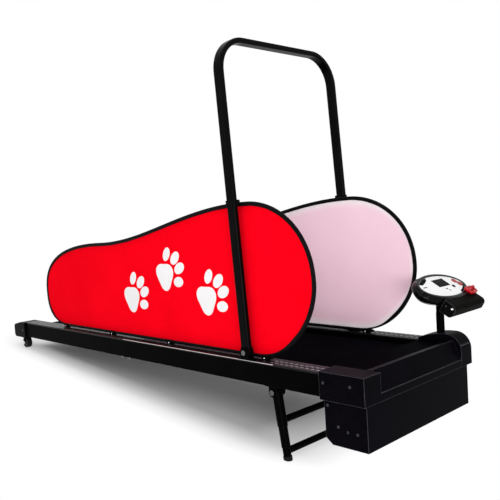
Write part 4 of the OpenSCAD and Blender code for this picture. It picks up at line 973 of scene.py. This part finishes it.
def make_housing_screws():
    for side, sign, tray in (("near", -1, TRAY_NEAR), ("far", 1, TRAY_FAR)):
        places = [sideways(DECK, u, sign * y, w, sign) for u, y, w in HOOD_SCREWS + tray]
        screws("housing_screws_" + side, places, HOUSING_HEAD, SCREW, "chassis", "housing_screws")


def make_clip_screws(side, sign):
    start = PanelFrame(side).start
    places = [sideways(DECK, start + share * PANEL["len"], sign * PANEL["y"] + face * CLIP_OUT,
                       PANEL["base"] - CLIP_DROP, face) for share in CLIP_SHARES for face in (1, -1)]
    screws("clip_screws_" + side, places, CLIP_HEAD, STEEL, "chassis", sides=CLIP_SIDES)


def make_cap_screw(side, sign):
    u, y, w = CAP_SCREW
    screws("cap_screw_" + side, [sideways(DECK, u, sign * y, w, sign)], CAP_HEAD, BOLT, "chassis")


make_housing_screws()
for side, sign in (("near", -1), ("far", 1)):
    make_strip_highlights(side, sign)
    make_clip_screws(side, sign)
    make_cap_screw(side, sign)

# Hood: its plate behind the ridge is matt
HOOD_PLATE = {"u": 1848.0, "y": 196.0, "up": 0.5}
TO_DECK = DECK.inverted()
NODES["hood"].data.materials.append(MATT)
for face in NODES["hood"].data.polygons:
    at = (TO_DECK @ face.center) / MM
    if at.x < HOOD_PLATE["u"] and at.y > -HOOD_PLATE["y"] and face.normal.z > HOOD_PLATE["up"]:
        face.material_index = 1

# Wheels: hubs a little paler than their tyres
HUB_SHARE = 0.765
for name in ("wheel_near", "wheel_far"):
    low, high = (Vector(corner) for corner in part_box(name))
    middle, reach = (low + high) / 2, (high.z - low.z) / 2
    NODES[name].data.materials.append(HUB)
    for face in NODES[name].data.polygons:
        off = face.center - middle
        if math.hypot(off.x, off.z) < HUB_SHARE * reach:
            face.material_index = 1

# Panels: a trail of plain paw prints in place of the printed figure
PAW_TRAIL = [(672.0, 150.0), (880.0, 238.0), (1092.0, 168.0)]
PAW_SCALE = 0.74
PAW_LEAN = math.radians(-58)
# Each pad: middle, half sizes, lean in degrees and depth of lobes; its skin: shares of the pad, heights
PAW = [((0, -28), (63, 60), 0, 0.13), ((-74, 42), (23, 34), 26, 0), ((-27, 84), (24, 37), 8, 0),
       ((27, 84), (24, 37), -8, 0), ((74, 42), (23, 34), -26, 0)]
PAW_SKIN = [(1.0, -0.15), (1.0, 0.22), (0.985, 0.34), (0.8, 0.36), (0.6, 0.36), (0.4, 0.36), (0.2, 0.36)]
PAW_SIDES = 48


def make_paw(side):
    place = PanelFrame(side)
    lower, upper, x0, x1 = CLOTH_EDGE
    bm = bmesh.new()
    whole = Matrix.Rotation(PAW_LEAN, 2) * PAW_SCALE
    turns = [2 * math.pi * k / PAW_SIDES for k in range(PAW_SIDES)]
    for middle, (pad, (a, b), lean, lobes) in itertools.product(PAW_TRAIL, PAW):
        turned = Matrix.Rotation(math.radians(lean), 2)

        def at(share, turn, rise):
            r = share * (1 + lobes * math.cos(3 * (turn - math.pi / 2)))
            q = turned @ Vector((a * r * math.cos(turn), b * r * math.sin(turn)))
            x, up = Vector(middle) + whole @ (Vector(pad) + q)
            lo, hi = lower(x), upper(x)
            reach = min(up - lo, hi - up)
            out = cloth_out((up - lo) / (hi - lo), (x - x0) / (x1 - x0), x, up, reach)
            return bm.verts.new(place(x, up, out + CLOTH_T / 2 + rise))

        rings = [[at(share, t, rise) for t in turns] for share, rise in PAW_SKIN]
        bm.faces.new(rings[0][::-1])
        rings.append([at(0.0, 0.0, PAW_SKIN[-1][1])])
        for outer, inner in zip(rings, rings[1:]):
            band(bm, outer, inner)
    part_of("paw_print_" + side, bm, PAW_WHITE, "panel_" + side, "white_plastic", crease=SOFT_CREASE)


for side in ("near", "far"):
    make_paw(side)

# Floor, light and camera, in metres, watts and degrees; outside a box round the deck the floor glows white
# to the camera, painted light that covers the shadow falling there
FLOOR_RINGS, FLOOR_SIDES = (0.0, 1.5, 3.0, 6.0, 14.0), 48
SHADOW_AT, SHADOW_HALF, SHADOW_FADE = (-0.20, 0.0, 0.0), (0.66, 0.22, 0.0), (0.35, 0.16, 1.0)
AMBIENT = 0.45
LAMPS = [("key", (1.0, -2.9, 2.6), (0.2, 0.0, 0.3), (2.0, 1.4), 28.0),
         ("overhead", (0.3, -0.4, 3.4), (0.0, 0.0, 0.0), (2.6, 2.0), 34.0),
         ("fill", (5.0, -3.6, 0.9), (0.4, 0.1, 0.35), (3.4, 1.7), 194.0)]
CAMERA = {"turn": 45.37, "pitch": 7.67, "roll": 0.36, "at": (1.8837, -1.6276, 0.8353),
          "sensor": 36.0, "lens": 47.124, "shift": (-0.0007, 0.00632), "end": 60.0}


def floor_finish():
    s = Shade("floor_white", Roughness=0.9, Specular_IOR_Level=0.0)
    off = s.where
    for step, by in (("SUBTRACT", SHADOW_AT), ("ABSOLUTE", (0, 0, 0)), ("SUBTRACT", SHADOW_HALF),
                     ("MAXIMUM", (0, 0, 0)), ("DIVIDE", SHADOW_FADE)):
        off = s.node("VectorMath", {0: off, 1: by}, operation=step).outputs[0]
    far = s.node("VectorMath", {0: off}, operation="LENGTH").outputs["Value"]
    # Painted light: outside the shadow box the floor shows white emission to camera and glossy rays, over
    # any shadow there
    fade = s.ramp(far, [(0.0, 0.0), (0.5, 0.38), (1.0, 1.0)])
    s.put("Base Color", s.ramp(s.noise(3.0), [(0.3, 0.955), (0.7, 0.965)]))
    glow = s.node("Emission", {"Color": (1, 1, 1, 1), "Strength": 1.0}).outputs[0]
    path = s.node("LightPath").outputs
    seen = s.math("MAXIMUM", path["Is Camera Ray"],
                  s.math("MAXIMUM", path["Is Glossy Ray"], path["Is Transmission Ray"]))
    blend = s.node("MixShader", {0: s.math("MULTIPLY", fade, seen)})
    s.tree.links.new(s.bsdf.outputs[0], blend.inputs[1])
    s.tree.links.new(glow, blend.inputs[2])
    s.tree.links.new(blend.outputs[0], s.tree.nodes["Material Output"].inputs["Surface"])
    return s.mat


def make_floor():
    bm = bmesh.new()
    rings = [[bm.verts.new((x, y, 0.0)) for x, y in oval(r, r, FLOOR_SIDES if r else 1)]
             for r in FLOOR_RINGS]
    for a, b in zip(rings, rings[1:]):
        band(bm, a, b)
    floor = mesh_object("floor", bm, [floor_finish()])


def make_world(ambient):
    world = bpy.data.worlds.new("studio")
    bpy.context.scene.world = world
    world.use_nodes = True
    tree = world.node_tree
    back = tree.nodes["Background"]
    back.inputs["Color"].default_value = (1, 1, 1, 1)
    path = tree.nodes.new("ShaderNodeLightPath").outputs
    seen = path["Is Camera Ray"]
    for name in ("Is Glossy Ray", "Is Transmission Ray"):
        both = tree.nodes.new("ShaderNodeMath")
        both.operation = "MAXIMUM"
        tree.links.new(seen, both.inputs[0])
        tree.links.new(path[name], both.inputs[1])
        seen = both.outputs[0]
    level = tree.nodes.new("ShaderNodeMapRange")
    level.inputs["To Min"].default_value = ambient
    level.inputs["To Max"].default_value = 1.0
    tree.links.new(seen, level.inputs["Value"])
    tree.links.new(level.outputs["Result"], back.inputs["Strength"])


def make_light(name, at, aim, size, power):
    lamp = bpy.data.lights.new(name, "AREA")
    lamp.shape = "RECTANGLE"
    lamp.size, lamp.size_y = size
    lamp.energy = power
    obj = bpy.data.objects.new(name, lamp)
    obj.location = at
    obj.rotation_euler = (Vector(aim) - Vector(at)).to_track_quat("-Z", "Y").to_euler()
    bpy.context.scene.collection.objects.link(obj)


def make_camera():
    az, pitch, roll = (math.radians(CAMERA[angle]) for angle in ("turn", "pitch", "roll"))
    ahead = Vector((-math.sin(az) * math.cos(pitch), math.cos(az) * math.cos(pitch), -math.sin(pitch)))
    right = Vector((math.cos(az), math.sin(az), 0.0))
    up = right.cross(ahead)
    across = right * math.cos(roll) + up * math.sin(roll)
    above = up * math.cos(roll) - right * math.sin(roll)
    lens = bpy.data.cameras.new("camera")
    lens.sensor_width = CAMERA["sensor"]
    lens.lens = CAMERA["lens"]
    lens.shift_x, lens.shift_y = CAMERA["shift"]
    lens.clip_end = CAMERA["end"]
    obj = bpy.data.objects.new("camera", lens)
    place = Matrix((across, above, -ahead)).transposed().to_4x4()
    place.translation = Vector(CAMERA["at"])
    obj.matrix_world = place
    bpy.context.scene.collection.objects.link(obj)
    bpy.context.scene.camera = obj


make_floor()
make_world(AMBIENT)
for lamp in LAMPS:
    make_light(*lamp)
make_camera()
bpy.context.scene.view_settings.view_transform = "Standard"
